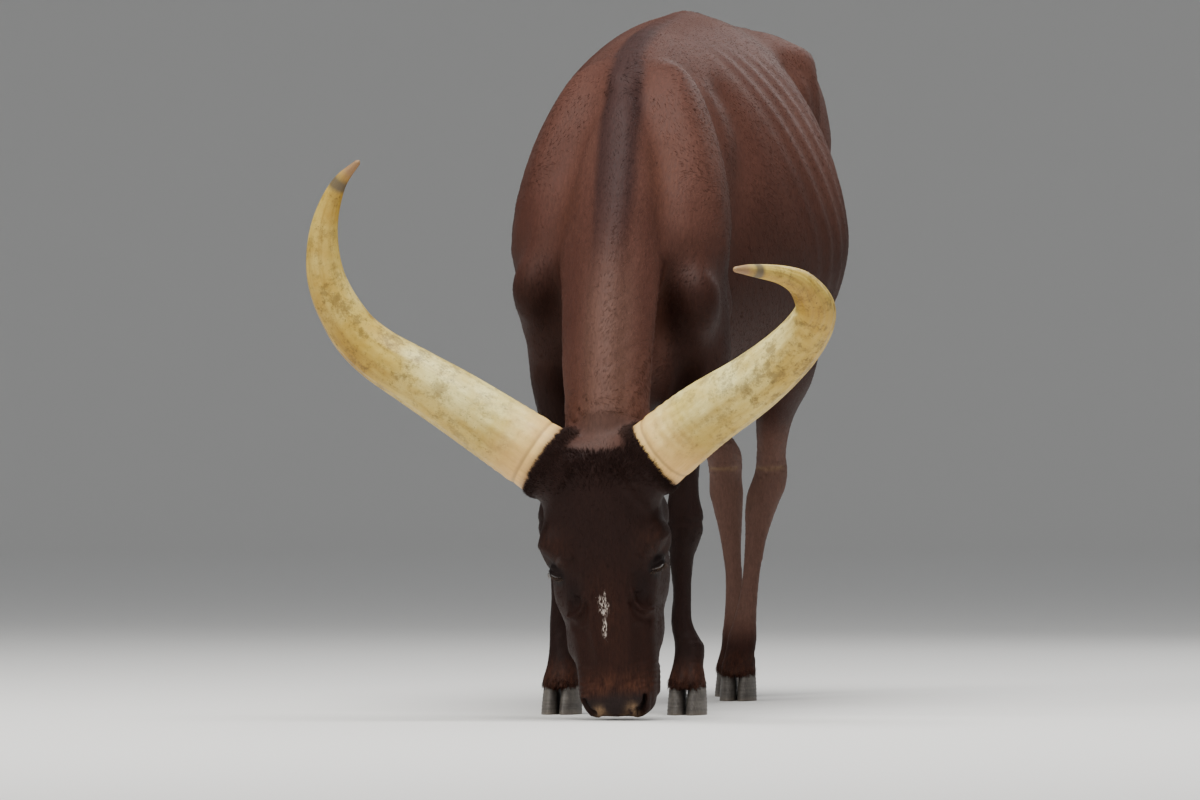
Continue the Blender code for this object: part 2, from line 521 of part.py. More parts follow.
def build():
    clear_scene()
    cow = new_collection("ankole_watusi_cow")
    cuts = new_collection("parting_cuts")
    flesh = joined_flesh(cow)

    # Where the flesh is parted
    head_edge = half_plane((-0.390, 0.590), (-0.272, 0.455), 0.70, (0.14, 0.34))
    neck_edge = [(0.058, 1.280), (-0.205, 0.655), (-0.205, 0.350), (-0.95, 0.350), (-0.95, 1.280)]
    fore_edge = [(-0.17, -0.05), (0.26, -0.05), (0.26, 0.595), (-0.17, 0.595)]
    left_edge = [(0.78, -0.05), (1.180, -0.05), (1.180, 0.570), (0.78, 0.570)]
    right_edge = [(1.182, -0.05), (1.60, -0.05), (1.60, 0.570), (1.00, 0.570), (1.03, 0.528), (1.182, 0.470)]
    feet_edge = [(-0.30, -0.06), (1.70, -0.06), (1.70, CORONET), (-0.30, CORONET)]
    tools = {}
    for name, edge, low, high in (("head", head_edge, -0.40, 0.50), ("neck", neck_edge, -0.45, 0.55),
                                  ("fore_left", fore_edge, 0.004, 0.40), ("fore_right", fore_edge, -0.40, -0.004),
                                  ("hind_left", left_edge, 0.0105, 0.40), ("hind_right", right_edge, -0.40, 0.058),
                                  ("feet", feet_edge, -0.50, 0.50)):
        tools[name] = slab(name + "_cut", edge, low, high, 0.0, cuts)
        tools[name + "_wide"] = slab(name + "_clear", edge, low, high, GAP, cuts)

    # Small bodies and the sockets they sit in
    horn_tools, ear_tools, eye_tools, parts = [], [], [], {}
    for side, sign, horn in (("left", 1, HORN_LEFT), ("right", -1, HORN_RIGHT)):
        parts[f"horn_{side}"] = tube(f"horn_{side}", horn["path"], horn["radius"], cow)
        horn_tools.append(tube(f"horn_socket_{side}", horn["path"], horn["radius"], cuts, grow=GAP))
        parts[f"ear_{side}"] = ear(f"ear_{side}", sign, cow)
        ear_tools.append(ear(f"ear_socket_{side}", sign, cuts, grow=GAP))
        spot = head_point(EYE["side"] * sign, EYE["down"], EYE["depth"])
        size = EYE["radius"]
        parts[f"eye_{side}"] = ball(f"eye_{side}", spot, (size, size, size), cow, segments=12, rings=8)
        size += GAP
        eye_tools.append(ball(f"eye_socket_{side}", spot, (size, size, size), cuts, segments=12, rings=8))
    sockets = merged("head_sockets", horn_tools + ear_tools + eye_tools, cuts)

    # Flesh nodes
    head = node_of("head", flesh, cow)
    cut(head, tools["head"], "INTERSECT")
    cut(head, sockets, "DIFFERENCE")
    neck = node_of("neck", flesh, cow)
    cut(neck, tools["neck"], "INTERSECT")
    cut(neck, tools["head_wide"], "DIFFERENCE")
    cut(neck, sockets, "DIFFERENCE")
    trunk = node_of("trunk", flesh, cow)
    for name in ("neck", "head", "fore_left", "fore_right", "hind_left", "hind_right"):
        cut(trunk, tools[name + "_wide"], "DIFFERENCE")
    tail_tool = tube("tail_socket", TAIL_PATH, TAIL_RADIUS, cuts, sides=8, steps=12, grow=GAP)
    tail_tool.display_type = "WIRE"
    tail_tool.hide_render = True
    cut(trunk, tail_tool, "DIFFERENCE")
    legs = {}
    for place in ("fore_left", "fore_right", "hind_left", "hind_right"):
        name = place.replace("fore_", "foreleg_").replace("hind_", "hindleg_")
        legs[name] = node_of(name, flesh, cow)
        cut(legs[name], tools[place], "INTERSECT")
        cut(legs[name], tools["feet"], "DIFFERENCE")

    # Tail and hooves
    parts["tail"] = tube("tail", TAIL_PATH, TAIL_RADIUS, cow, sides=8, steps=12)
    parts["tail_switch"] = tube("tail_switch", SWITCH_PATH, SWITCH_RADIUS, cow, sides=8, steps=8)
    feet = (("fore_left", FORE_LEFT["foot"], -0.026, 0.02), ("fore_right", FORE_RIGHT["foot"], -0.026, -0.02),
            ("hind_left", 0.057, 0.944, 0.05), ("hind_right", -0.010, 1.272, -0.05))
    for name, x, y, turn in feet:
        parts[f"hoof_{name}_outer"] = claw(f"hoof_{name}_outer", x, y, turn, 1 if "left" in name else -1, cow)
        parts[f"hoof_{name}_inner"] = claw(f"hoof_{name}_inner", x, y, turn, -1 if "left" in name else 1, cow)

    # Surfaces
    looks = {"trunk": (BROWN_COAT, 0.48), "neck": (BROWN_COAT, 0.50), "head": (DARK_COAT, 0.52),
             "foreleg": (LEG_COAT, 0.50), "hindleg": (LEG_COAT, 0.50), "ear": (DARK_COAT, 0.55),
             "tail": (LEG_COAT, 0.55), "horn": (HORN_COLOUR, 0.36), "hoof": (HOOF_COLOUR, 0.45),
             "eye": (EYE_COLOUR, 0.08)}
    for thing in list(cow.objects):
        colour, rough = looks[thing.name.split("_")[0]]
        thing.data.materials.clear()
        thing.data.materials.append(material(thing.name + "_surface", colour, rough))
        for face in thing.data.polygons:
            face.use_smooth = not thing.name.startswith("hoof")
    for thing in list(cow.objects) + list(cuts.objects):
        thing.data.transform(Matrix.Translation(BODY_SHIFT))


build()
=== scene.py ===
import math

import bpy
import numpy as np
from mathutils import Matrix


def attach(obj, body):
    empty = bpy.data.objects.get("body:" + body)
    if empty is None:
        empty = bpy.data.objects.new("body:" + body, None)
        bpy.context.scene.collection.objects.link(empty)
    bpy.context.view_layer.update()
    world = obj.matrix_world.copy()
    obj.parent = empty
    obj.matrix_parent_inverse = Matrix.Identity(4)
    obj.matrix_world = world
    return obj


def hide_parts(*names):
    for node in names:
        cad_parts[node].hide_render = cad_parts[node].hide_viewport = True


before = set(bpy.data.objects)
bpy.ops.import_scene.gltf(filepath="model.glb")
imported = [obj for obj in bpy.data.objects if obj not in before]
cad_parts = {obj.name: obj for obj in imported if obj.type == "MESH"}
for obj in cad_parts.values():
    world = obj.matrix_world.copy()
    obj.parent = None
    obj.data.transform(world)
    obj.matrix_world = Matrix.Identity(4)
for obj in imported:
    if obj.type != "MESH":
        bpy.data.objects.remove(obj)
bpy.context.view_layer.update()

# Lengths along the body are counted from the fore feet, then moved by this much into the row's frame
bodyShift = np.array([-0.0144, -0.3570, 0.0])


# Small tools
def smoothThrough(rows, count):
    # Cubic curve through the rows, each span weighted by the two rows on either side of it
    rows = np.asarray(rows, float)
    padded = np.vstack([2 * rows[:1] - rows[1:2], rows, 2 * rows[-1:] - rows[-2:-1]])
    t = np.linspace(0, len(rows) - 1.0, count)
    i = np.minimum(t.astype(int), len(rows) - 2)
    f = (t - i)[:, None]
    a, b, c, d = padded[i], padded[i + 1], padded[i + 2], padded[i + 3]
    return 0.5 * (2 * b + (c - a) * f + (2 * a - 5 * b + 4 * c - d) * f ** 2
                  + (3 * b - a - 3 * c + d) * f ** 3)


def runOf(line):
    # Length along a line of points up to each of them
    return np.concatenate([[0], np.cumsum(np.linalg.norm(np.diff(line, axis=0), axis=1))])


def smoothStep(low, high, value):
    # 0 below low, 1 above high, 3t^2 - 2t^3 between
    t = np.clip((value - low) / (high - low), 0, 1)
    return t * t * (3 - 2 * t)


def bell(value, at, reach):
    # 1 at the place, falling off on both sides as e to the minus square of the gap over the reach
    return np.exp(-((value - at) / reach) ** 2)


def unit(v):
    return v / np.maximum(np.linalg.norm(v, axis=-1, keepdims=True), 1e-12)


def wobble(p, size, seed=0):
    # Soft pseudo-noise between -1 and 1: a sum of sines along turned directions, finer and weaker each time
    total = np.zeros(len(p))
    rng = np.random.default_rng(seed)
    for k in range(5):
        way = unit(rng.normal(size=3)) * (2 * np.pi / (size * 0.72 ** k))
        start, other = rng.uniform(0, 6.28), rng.uniform(0, 6.28)
        total += np.sin(p @ way + start) * np.sin(p @ np.roll(way, 1) * 0.83 + other) * 0.8 ** k
    return total / 2.2


def ovalGrid(centre, across, upward, wide, top, low, power, pinch, around):
    # Rings: wide*sin across and top or low*cos upward, both raised to 2/power; pinch narrows the upper half
    a = np.linspace(0, 2 * np.pi, around, endpoint=False)
    s, c = np.sin(a), np.cos(a)
    p = 2.0 / power
    z = np.sign(c) * np.abs(c) ** p
    x = np.sign(s) * np.abs(s) ** p * (1 - pinch * np.maximum(z, 0))
    tall = np.where(z > 0, top[:, None], low[:, None]) * z
    sideways = across[:, None] * (wide[:, None] * x)[..., None]
    return centre[:, None] + sideways + upward[:, None] * tall[..., None]


def ringFaces(rows, around):
    # Two triangles between each pair of neighbours in one ring and the same pair in the next
    r, c = np.meshgrid(np.arange(rows - 1), np.arange(around), indexing="ij")
    here, beside = r * around + c, r * around + (c + 1) % around
    quads = np.stack([here, beside, beside + around, here + around], -1).reshape(-1, 4)
    return np.vstack([quads[:, [0, 1, 2]], quads[:, [0, 2, 3]]])


def closedGrid(grid):
    # Points and triangles of a tube given as rings, with a middle point closing each end
    rows, around = grid.shape[:2]
    points = np.vstack([grid.reshape(-1, 3), grid[0].mean(0), grid[-1].mean(0)])
    k = np.arange(around)
    m = (k + 1) % around
    first, last, lastRing = rows * around, rows * around + 1, (rows - 1) * around
    start = np.stack([np.full(around, first), m, k], 1)
    end = np.stack([np.full(around, last), lastRing + k, lastRing + m], 1)
    return outwardFaces(points, np.vstack([ringFaces(rows, around), start, end]))


def outwardFaces(points, tris):
    # A closed surface has positive volume when its faces look out; turned over if not
    a, b, c = points[tris[:, 0]], points[tris[:, 1]], points[tris[:, 2]]
    if np.einsum("ij,ij->", a, np.cross(b, c)) < 0:
        tris = tris[:, ::-1]
    return points, tris


def ballGrid(at, size, sideTilt=0.0, frontTilt=0.0, rows=16, around=26):
    # Ellipsoid: sin and cos of two angles times the half sizes, tilted in side view, then in front view
    v, u = np.meshgrid(np.linspace(0.02, np.pi - 0.02, rows),
                       np.linspace(0, 2 * np.pi, around, endpoint=False), indexing="ij")
    p = np.stack([np.sin(v) * np.cos(u) * size[0], np.sin(v) * np.sin(u) * size[1], np.cos(v) * size[2]], -1)
    a, b = math.radians(sideTilt), math.radians(frontTilt)
    tiltX = np.array([[1, 0, 0], [0, math.cos(a), -math.sin(a)], [0, math.sin(a), math.cos(a)]])
    tiltY = np.array([[math.cos(b), 0, math.sin(b)], [0, 1, 0], [-math.sin(b), 0, math.cos(b)]])
    return p @ (tiltY @ tiltX).T + np.asarray(at)


def joinShapes(shapes):
    # One list of points and faces out of several
    points, tris, start = [], [], 0
    for p, t in shapes:
        points.append(p)
        tris.append(t + start)
        start += len(p)
    return np.vstack(points), np.vstack(tris)


def meshFrom(name, points, tris):
    # Whole arrays put into a new mesh at once
    mesh = bpy.data.meshes.new(name)
    tris = np.asarray(tris, np.int32)
    mesh.vertices.add(len(points))
    mesh.vertices.foreach_set("co", np.ascontiguousarray(points, np.float32).ravel())
    mesh.loops.add(tris.size)
    mesh.loops.foreach_set("vertex_index", tris.ravel())
    mesh.polygons.add(len(tris))
    mesh.polygons.foreach_set("loop_start", np.arange(0, tris.size, 3, dtype=np.int32))
    mesh.polygons.foreach_set("loop_total", np.full(len(tris), 3, np.int32))
    mesh.update(calc_edges=True)
    mesh.polygons.foreach_set("use_smooth", np.ones(len(tris), bool))
    return mesh


def objectFrom(name, points, tris):
    # A mesh of these points and triangles, standing in the scene
    thing = bpy.data.objects.new(name, meshFrom(name, points, tris))
    bpy.context.scene.collection.objects.link(thing)
    return thing


def pieceFrom(name, points, tris, surface, nodes=()):
    # A finished piece: its mesh, its finish, the body it rides on and the solids it stands for
    piece = objectFrom(name, points, tris)
    piece.data.materials.append(surface)
    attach(piece, "root")
    if nodes:
        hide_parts(*nodes)
    return piece


def pointMarks(mesh, marks):
    # Each mark is one number per point, kept on the mesh for its material to read
    for name, values in marks.items():
        layer = mesh.attributes.new(name, "FLOAT", "POINT")
        layer.data.foreach_set("value", np.ascontiguousarray(values, np.float32))


def bakeMap(mesh, places):
    # The flat place of every point, given to each corner that uses it
    corners = np.empty(len(mesh.loops), np.int32)
    mesh.loops.foreach_get("vertex_index", corners)
    flat = np.ascontiguousarray(places[corners], np.float32)
    mesh.uv_layers.new(name="OFBake").data.foreach_set("uv", flat.ravel())


def settled(things):
    # Points and triangles of the first object with its modifiers done; all the objects are then cleared away
    bpy.context.view_layer.update()
    done = bpy.data.meshes.new_from_object(things[0].evaluated_get(bpy.context.evaluated_depsgraph_get()))
    done.calc_loop_triangles()
    points = np.empty(len(done.vertices) * 3)
    done.vertices.foreach_get("co", points)
    tris = np.empty(len(done.loop_triangles) * 3, np.int32)
    done.loop_triangles.foreach_get("vertices", tris)
    for thing in things:
        bpy.data.objects.remove(thing, do_unlink=True)
    bpy.data.meshes.remove(done)
    return points.reshape(-1, 3), tris.reshape(-1, 3)


def normalsOf(points, tris):
    # Sum of the face normals round each point, made one long
    a, b, c = points[tris[:, 0]], points[tris[:, 1]], points[tris[:, 2]]
    face = np.cross(b - a, c - a)
    total = np.zeros_like(points)
    for axis in range(3):
        total[:, axis] = np.bincount(tris.ravel(), np.repeat(face[:, axis], 3), len(points))
    return unit(total)


def eased(points, tris, rounds, weight=None, pull=0.5, push=-0.53):
    # Each point moves towards the mean of its neighbours, then back a little more, which keeps the size
    e = np.sort(np.vstack([tris[:, [0, 1]], tris[:, [1, 2]], tris[:, [2, 0]]]), 1)
    e = np.unique(e, axis=0)
    a, b = np.concatenate([e[:, 0], e[:, 1]]), np.concatenate([e[:, 1], e[:, 0]])
    count = np.maximum(np.bincount(a, minlength=len(points)), 1)[:, None]
    w = np.ones((len(points), 1)) if weight is None else weight[:, None]
    p = points.copy()
    for _ in range(rounds):
        for step in (pull, push):
            mean = np.stack([np.bincount(a, p[b, k], len(p)) for k in range(3)], 1) / count
            p += (mean - p) * step * w
    return p


def finer(points, tris, inside):
    # Every edge with both ends inside is halved; faces with one, two or three halved edges become 2, 3 or 4
    pairs = np.stack([tris, np.roll(tris, -1, 1)], -1)
    low, high = pairs.min(-1), pairs.max(-1)
    split = inside[low] & inside[high]
    key = low.astype(np.int64) * len(points) + high
    used, first = np.unique(key[split], return_index=True)
    ends = np.stack([low[split][first], high[split][first]], 1)
    middle = len(points) + np.searchsorted(used, np.where(split, key, used[0]))
    points = np.vstack([points, points[ends].mean(1)])
    number = split.sum(1)
    out = [tris[number == 0]]
    for k in range(3):
        a, b, c = tris[:, k], tris[:, (k + 1) % 3], tris[:, (k + 2) % 3]
        ab, bc, ca = middle[:, k], middle[:, (k + 1) % 3], middle[:, (k + 2) % 3]
        one = (number == 1) & split[:, k]
        out += [np.stack([a, ab, c], 1)[one], np.stack([ab, b, c], 1)[one]]
        two = (number == 2) & ~split[:, k]
        out += [np.stack([a, b, bc], 1)[two], np.stack([a, bc, ca], 1)[two], np.stack([bc, c, ca], 1)[two]]
        full = number == 3
        out.append(np.stack([a, ab, ca], 1)[full])
        if k == 0:
            out.append(np.stack([ab, bc, ca], 1)[full])
    return points, np.vstack(out)


def lineDistance(p, path, samples=22):
    # Distance to a smooth line through the path's points, and how far along it the nearest place is (0 to 1)
    line = smoothThrough(path, samples)
    best, where = np.full(len(p), 9.0), np.zeros(len(p))
    near = np.nonzero(np.all((p > line.min(0) - 0.10) & (p < line.max(0) + 0.10), axis=1))[0]
    if len(near) == 0:
        return best, where
    step = np.diff(line, axis=0)
    q = p[near][:, None] - line[None, :-1]
    t = np.clip(np.sum(q * step, 2) / np.sum(step * step, 1), 0, 1)
    d = np.linalg.norm(q - step * t[..., None], axis=2)
    i = d.argmin(1)
    k = np.arange(len(near))
    best[near] = d[k, i]
    where[near] = (i + t[k, i]) / (samples - 1)
    return best, where


def ridge(p, path, width, height, fade=0.15, loose=(0.45, 1, 1), flat=2):
    # Height of a rounded ridge (or groove, if negative) along a line, dying away at both ends
    # loose says how much a gap along x, y or z counts, as the line need not lie exactly on the skin
    d, t = lineDistance(p * loose, np.asarray(path, float) * loose)
    ends = smoothStep(-0.01, fade, t) * smoothStep(-0.01, fade, 1 - t) if fade else 1.0
    return height * np.exp(-(d / width) ** flat) * ends


def lump(p, at, size, height):
    # Height of a soft swelling round a point, with its own reach along x, y and z
    q = (p - np.asarray(at)) / np.asarray(size)
    return height * np.exp(-np.sum(q * q, axis=1))


def raised(h, p, forms, side=1, **how):
    # Adds each form to the heights: a list of points makes a ridge of that width, one point a swelling of
    # that size
    mirror = np.array([side, 1, 1])
    for place, size, height in forms:
        place = np.array(place) * mirror
        h = h + (ridge(p, place, size, height, **how) if place.ndim == 2 else lump(p, place, size, height))
    return h


# Camera, floor and light
studioSize = dict(floor=40.0, bend=14.0, wall=50.0)
view = dict(degreesRound=11.0, away=14.20, sideStep=0.03, height=0.40, lens=235.2, pitch=0.68)
lamps = dict(
    skyLight=dict(at=(0.3, -1.6, 6.0), target=(0, -0.3, 0.8), size=4.2, power=560, colour=(1.0, 0.99, 0.97)),
    keyLight=dict(at=(-3.6, -5.0, 4.2), target=(0, 0, 0.8), size=2.6, power=210, colour=(1.0, 0.98, 0.94)),
    fillLight=dict(at=(4.6, -4.6, 2.6), target=(0, 0, 0.7), size=3.0, power=60, colour=(0.97, 0.98, 1.0)),
    backLight=dict(at=(1.5, 5.5, 4.0), target=(0, 0, 0.9), size=3.0, power=90, colour=(1.0, 1.0, 1.0)))
air = dict(colour=(0.92, 0.95, 1.0, 1), strength=0.42)
paper = dict(colour=(0.80, 0.79, 0.765, 1), roughness=0.85)


def placeCamera():
    a = math.radians(view["degreesRound"])
    right = np.array([math.cos(a), math.sin(a), 0])
    ahead = np.array([-math.sin(a), math.cos(a), 0])
    spot = -view["sideStep"] * right - view["away"] * ahead + bodyShift
    lens = bpy.data.cameras.new("camera")
    lens.lens = view["lens"]
    lens.sensor_width = 36
    lens.clip_end = 200
    cam = bpy.data.objects.new("camera", lens)
    cam.location = (spot[0], spot[1], view["height"])
    cam.rotation_euler = (math.radians(90 + view["pitch"]), 0, a)
    bpy.context.scene.collection.objects.link(cam)
    bpy.context.scene.camera = cam


def studio():
    # Floor and back wall in one sheet: flat, then a quarter circle up into the wall, swept round the z axis
    bend = np.linspace(0.05, np.pi / 2, 24)
    flat = np.geomspace(0.01, studioSize["floor"], 40)
    r = np.concatenate([flat, studioSize["floor"] + studioSize["bend"] * np.sin(bend)])
    h = np.concatenate([np.zeros(40), studioSize["bend"] * (1 - np.cos(bend))])
    r, h = np.append(r, r[-1]), np.append(h, studioSize["wall"])
    around = 96
    a = np.linspace(0, 2 * np.pi, around, endpoint=False)
    grid = np.stack([r[:, None] * np.cos(a), r[:, None] * np.sin(a), np.repeat(h[:, None], around, 1)], -1)
    k = np.arange(around)
    fan = np.stack([np.full(around, len(r) * around), k, (k + 1) % around], 1)
    points = np.vstack([grid.reshape(-1, 3), np.zeros((1, 3))])
    floor = objectFrom("studioFloor", points, np.vstack([ringFaces(len(r), around)[:, ::-1], fan]))
    sheet = bpy.data.materials.new("palePaper")
    sheet.use_nodes = True
    shader = sheet.node_tree.nodes["Principled BSDF"]
    shader.inputs["Base Color"].default_value = paper["colour"]
    shader.inputs["Roughness"].default_value = paper["roughness"]
    floor.data.materials.append(sheet)


def softLight(name, at, target, size, power, colour):
    # A round lamp at one place, turned to face another
    lamp = bpy.data.lights.new(name, "AREA")
    lamp.shape = "DISK"
    lamp.size = size
    lamp.energy = power
    lamp.color = colour
    thing = bpy.data.objects.new(name, lamp)
    way = unit(np.asarray(target, float) - np.asarray(at, float))
    thing.rotation_euler = (math.acos(-way[2]), 0, math.atan2(way[0], -way[1]) + math.pi)
    thing.location = at
    bpy.context.scene.collection.objects.link(thing)


def softAir():
    world = bpy.data.worlds.new("studioAir")
    world.use_nodes = True
    world.node_tree.nodes["Background"].inputs["Color"].default_value = air["colour"]
    world.node_tree.nodes["Background"].inputs["Strength"].default_value = air["strength"]
    bpy.context.scene.world = world


placeCamera()
studio()
for lampName, lamp in lamps.items():
    softLight(lampName, **lamp)
softAir()
print("camera, floor and lights placed")


# Body shape
# Sizes of the trunk from breast to tail root: place along, spine, belly, half width, height of the widest
# line
trunk = dict(
    along=(-0.135, -0.075, 0.040, 0.190, 0.350, 0.500, 0.640, 0.780, 0.900, 1.030, 1.160, 1.300, 1.400,
           1.440),
    spine=(0.870, 1.030, 1.170, 1.232, 1.264, 1.288, 1.308, 1.315, 1.311, 1.303, 1.312, 1.320, 1.322, 1.310),
    belly=(0.675, 0.635, 0.615, 0.612, 0.600, 0.578, 0.568, 0.580, 0.606, 0.640, 0.680, 0.760, 0.900, 1.130),
    wide=(0.060, 0.105, 0.135, 0.180, 0.250, 0.298, 0.318, 0.298, 0.245, 0.190, 0.165, 0.135, 0.080, 0.032),
    widest=(0.770, 0.800, 0.830, 0.860, 0.870, 0.880, 0.885, 0.890, 0.920, 0.950, 0.970, 1.000, 1.100, 1.240),
    power=1.95, pinch=0.10)

# Neck from shoulders to poll: crest and throat points, half width, sideways place
neck = dict(
    crestAlong=(0.070, -0.045, -0.155, -0.255, -0.340, -0.400, -0.425),
    crestHigh=(1.185, 1.105, 0.968, 0.822, 0.685, 0.570, 0.500),
    throatAlong=(-0.090, -0.165, -0.205, -0.235, -0.262, -0.288, -0.310),
    throatHigh=(0.680, 0.670, 0.615, 0.555, 0.495, 0.435, 0.385),
    wide=(0.115, 0.100, 0.090, 0.083, 0.080, 0.080, 0.074),
    side=(0.006, 0.014, 0.024, 0.031, 0.040, 0.050, 0.052))

# Head: down the face from the poll, half width, face line and jaw line
head = dict(
    top=(0.047, -0.470, 0.492), muzzle=(0.087, -0.425, 0.000), yaw=5.5,
    down=(0.000, 0.035, 0.100, 0.165, 0.225, 0.275, 0.325, 0.375, 0.425, 0.462, 0.489),
    wide=(0.060, 0.088, 0.104, 0.106, 0.098, 0.088, 0.080, 0.073, 0.071, 0.067, 0.054),
    face=(-0.030, -0.006, 0.004, 0.004, 0.000, -0.002, -0.004, -0.006, -0.008, -0.012, -0.026),
    jaw=(-0.105, -0.145, -0.180, -0.200, -0.205, -0.195, -0.165, -0.138, -0.122, -0.114, -0.096))

# Legs from the top down: height, sideways place, place along, half width, half depth
foreLeg = dict(
    high=(0.800, 0.690, 0.610, 0.520, 0.430, 0.370, 0.325, 0.285, 0.220, 0.165, 0.125, 0.095, 0.062, 0.042),
    along=(0.010, 0.030, 0.022, 0.004, -0.004, -0.008, -0.006, 0.000, 0.003, 0.002, 0.000, -0.010, -0.026,
           -0.032),
    wide=(0.040, 0.048, 0.043, 0.036, 0.030, 0.034, 0.034, 0.026, 0.020, 0.023, 0.030, 0.031, 0.0365, 0.036),
    deep=(0.085, 0.098, 0.074, 0.052, 0.038, 0.038, 0.038, 0.030, 0.026, 0.028, 0.034, 0.035, 0.041, 0.041),
    left=(0.156, 0.156, 0.156, 0.1265, 0.1265, 0.1265, 0.1265, 0.1205, 0.1205, 0.1205, 0.1345, 0.1345,
          0.1345, 0.1345),
    right=(-0.121, -0.121, -0.121, -0.1075, -0.1075, -0.1075, -0.1075, -0.1035, -0.1035, -0.1035,
           -0.0965, -0.0965, -0.0965, -0.0965))
hindLeft = dict(
    high=(0.700, 0.620, 0.545, 0.480, 0.430, 0.375, 0.320, 0.240, 0.170, 0.125, 0.095, 0.062, 0.042),
    side=(0.150, 0.146, 0.115, 0.100, 0.094, 0.078, 0.072, 0.068, 0.063, 0.059, 0.058, 0.057, 0.057),
    along=(0.990, 0.992, 1.030, 1.078, 1.096, 1.088, 1.068, 1.034, 1.006, 0.986, 0.968, 0.944, 0.938),
    wide=(0.058, 0.050, 0.038, 0.031, 0.035, 0.034, 0.025, 0.020, 0.024, 0.031, 0.032, 0.0365, 0.036),
    deep=(0.125, 0.098, 0.072, 0.054, 0.050, 0.042, 0.031, 0.027, 0.029, 0.034, 0.035, 0.041, 0.041))
hindRight = dict(
    high=(0.720, 0.640, 0.565, 0.490, 0.435, 0.380, 0.320, 0.240, 0.170, 0.125, 0.095, 0.062, 0.042),
    side=(-0.140, -0.128, -0.085, -0.041, -0.040, -0.036, -0.028, -0.019, -0.014, -0.011, -0.010, -0.010,
          -0.010),
    along=(1.080, 1.110, 1.190, 1.305, 1.352, 1.352, 1.342, 1.330, 1.318, 1.308, 1.294, 1.272, 1.266),
    wide=(0.058, 0.050, 0.042, 0.040, 0.034, 0.033, 0.025, 0.020, 0.024, 0.030, 0.031, 0.0365, 0.036),
    deep=(0.130, 0.100, 0.078, 0.062, 0.050, 0.042, 0.031, 0.027, 0.029, 0.034, 0.035, 0.041, 0.041))

# Muscle and bone under the skin: centre, half sizes, side tilt, front tilt, shift to the animal's left
muscles = dict(
    shoulderBlade=((0.122, 0.075, 0.985), (0.060, 0.115, 0.225), -24, -15, 0.004),
    shoulderPoint=((0.140, -0.070, 0.768), (0.050, 0.066, 0.080), 0, 0, 0.014),
    shoulderFront=((0.100, -0.025, 0.805), (0.085, 0.090, 0.185), 0, -8, 0.010),
    forearm=((0.135, 0.025, 0.690), (0.050, 0.085, 0.120), 0, 0, 0.014),
    upperArm=((0.128, 0.070, 0.735), (0.050, 0.115, 0.115), 20, 0, 0.018),
    hook=((0.180, 0.890, 1.212), (0.038, 0.060, 0.046), 0, 12, 0),
    hookShelf=((0.100, 0.890, 1.235), (0.100, 0.160, 0.056), 0, 12, 0),
    flank=((0.165, 0.880, 1.130), (0.072, 0.110, 0.120), 0, 0, 0),
    pin=((0.070, 1.355, 1.225), (0.034, 0.055, 0.046), 0, 0, 0),
    rumpSide=((0.115, 1.150, 1.090), (0.088, 0.225, 0.170), 6, 0, 0),
    thigh=((0.135, 1.120, 0.860), (0.078, 0.200, 0.235), 16, 4, 0),
    stifle=((0.158, 0.955, 0.700), (0.050, 0.080, 0.095), 10, 0, 0),
    buttock=((0.075, 1.300, 0.990), (0.060, 0.095, 0.210), -8, 0, 0))

skin = dict(grid=0.0100, coatDepth=0.0030, blend=260, headBlend=14, faces=188000)

# Horns: points from the root inside the skull to the tip, with the radius at each
horns = dict(
    right=dict(
        path=((0.000, -0.415, 0.427), (-0.054, -0.415, 0.462), (-0.193, -0.425, 0.553),
              (-0.275, -0.435, 0.603), (-0.350, -0.445, 0.650), (-0.396, -0.458, 0.700),
              (-0.430, -0.475, 0.777), (-0.430, -0.495, 0.861), (-0.401, -0.515, 0.938),
              (-0.357, -0.530, 0.984)),
        radius=(0.060, 0.0645, 0.058, 0.0525, 0.047, 0.0415, 0.0345, 0.0255, 0.0150, 0.0050)),
    left=dict(
        path=((0.102, -0.415, 0.430), (0.151, -0.415, 0.467), (0.237, -0.440, 0.531), (0.336, -0.475, 0.593),
              (0.415, -0.510, 0.657), (0.457, -0.560, 0.712), (0.450, -0.630, 0.754), (0.424, -0.690, 0.773),
              (0.383, -0.760, 0.780), (0.356, -0.800, 0.781)),
        radius=(0.060, 0.0640, 0.0605, 0.0535, 0.0455, 0.037, 0.0265, 0.0175, 0.0115, 0.0050)))

hornRoot = dict(start=0.040, reach=0.070, thick=0.0670, collar=0.0680, edge=0.058)
nostril = dict(line=((0.0400, 0.480, -0.016), (0.0440, 0.477, -0.016), (0.0490, 0.468, -0.018),
                     (0.0515, 0.455, -0.021)), wide=0.0066, deep=0.0125, rim=0.0030, turned=0.0060)
eyes = dict(side=0.0805, down=0.228, depth=-0.047, radius=0.0188)
lids = dict(thick=0.0026, open=0.0018, halfLength=0.0172, slant=0.42, drop=0.0055, sunk=0.0045)
ears = dict(root=(0.074, 0.050, -0.138), tip=(0.084, 0.038, -0.148), length=0.168, halfWidth=0.036,
            thick=0.0078, cup=0.34, blend=0.045)


def headAxes():
    # Down the face, out of the forehead, and to the animal's left, all one long and square to each other
    down = unit(np.array(head["muzzle"]) - np.array(head["top"]))
    yaw = math.radians(head["yaw"])
    front = np.array([math.sin(yaw), -math.cos(yaw), 0])
    front = unit(front - down * (front @ down))
    left = np.cross(down, front)
    return down, front, left if left[0] > 0 else -left


headDown, headFront, headLeft = headAxes()


def headPlace(side, down, depth):
    return np.array(head["top"]) + headLeft * side + headDown * down + headFront * depth


def headCoords(p):
    # Side, down and depth of points as the head's own three measures
    q = p - np.array(head["top"])
    return q @ headLeft, q @ headDown, q @ headFront


def steady(way, count):
    # The same direction for every ring of a shape
    return np.tile(np.array(way, float), (count, 1))


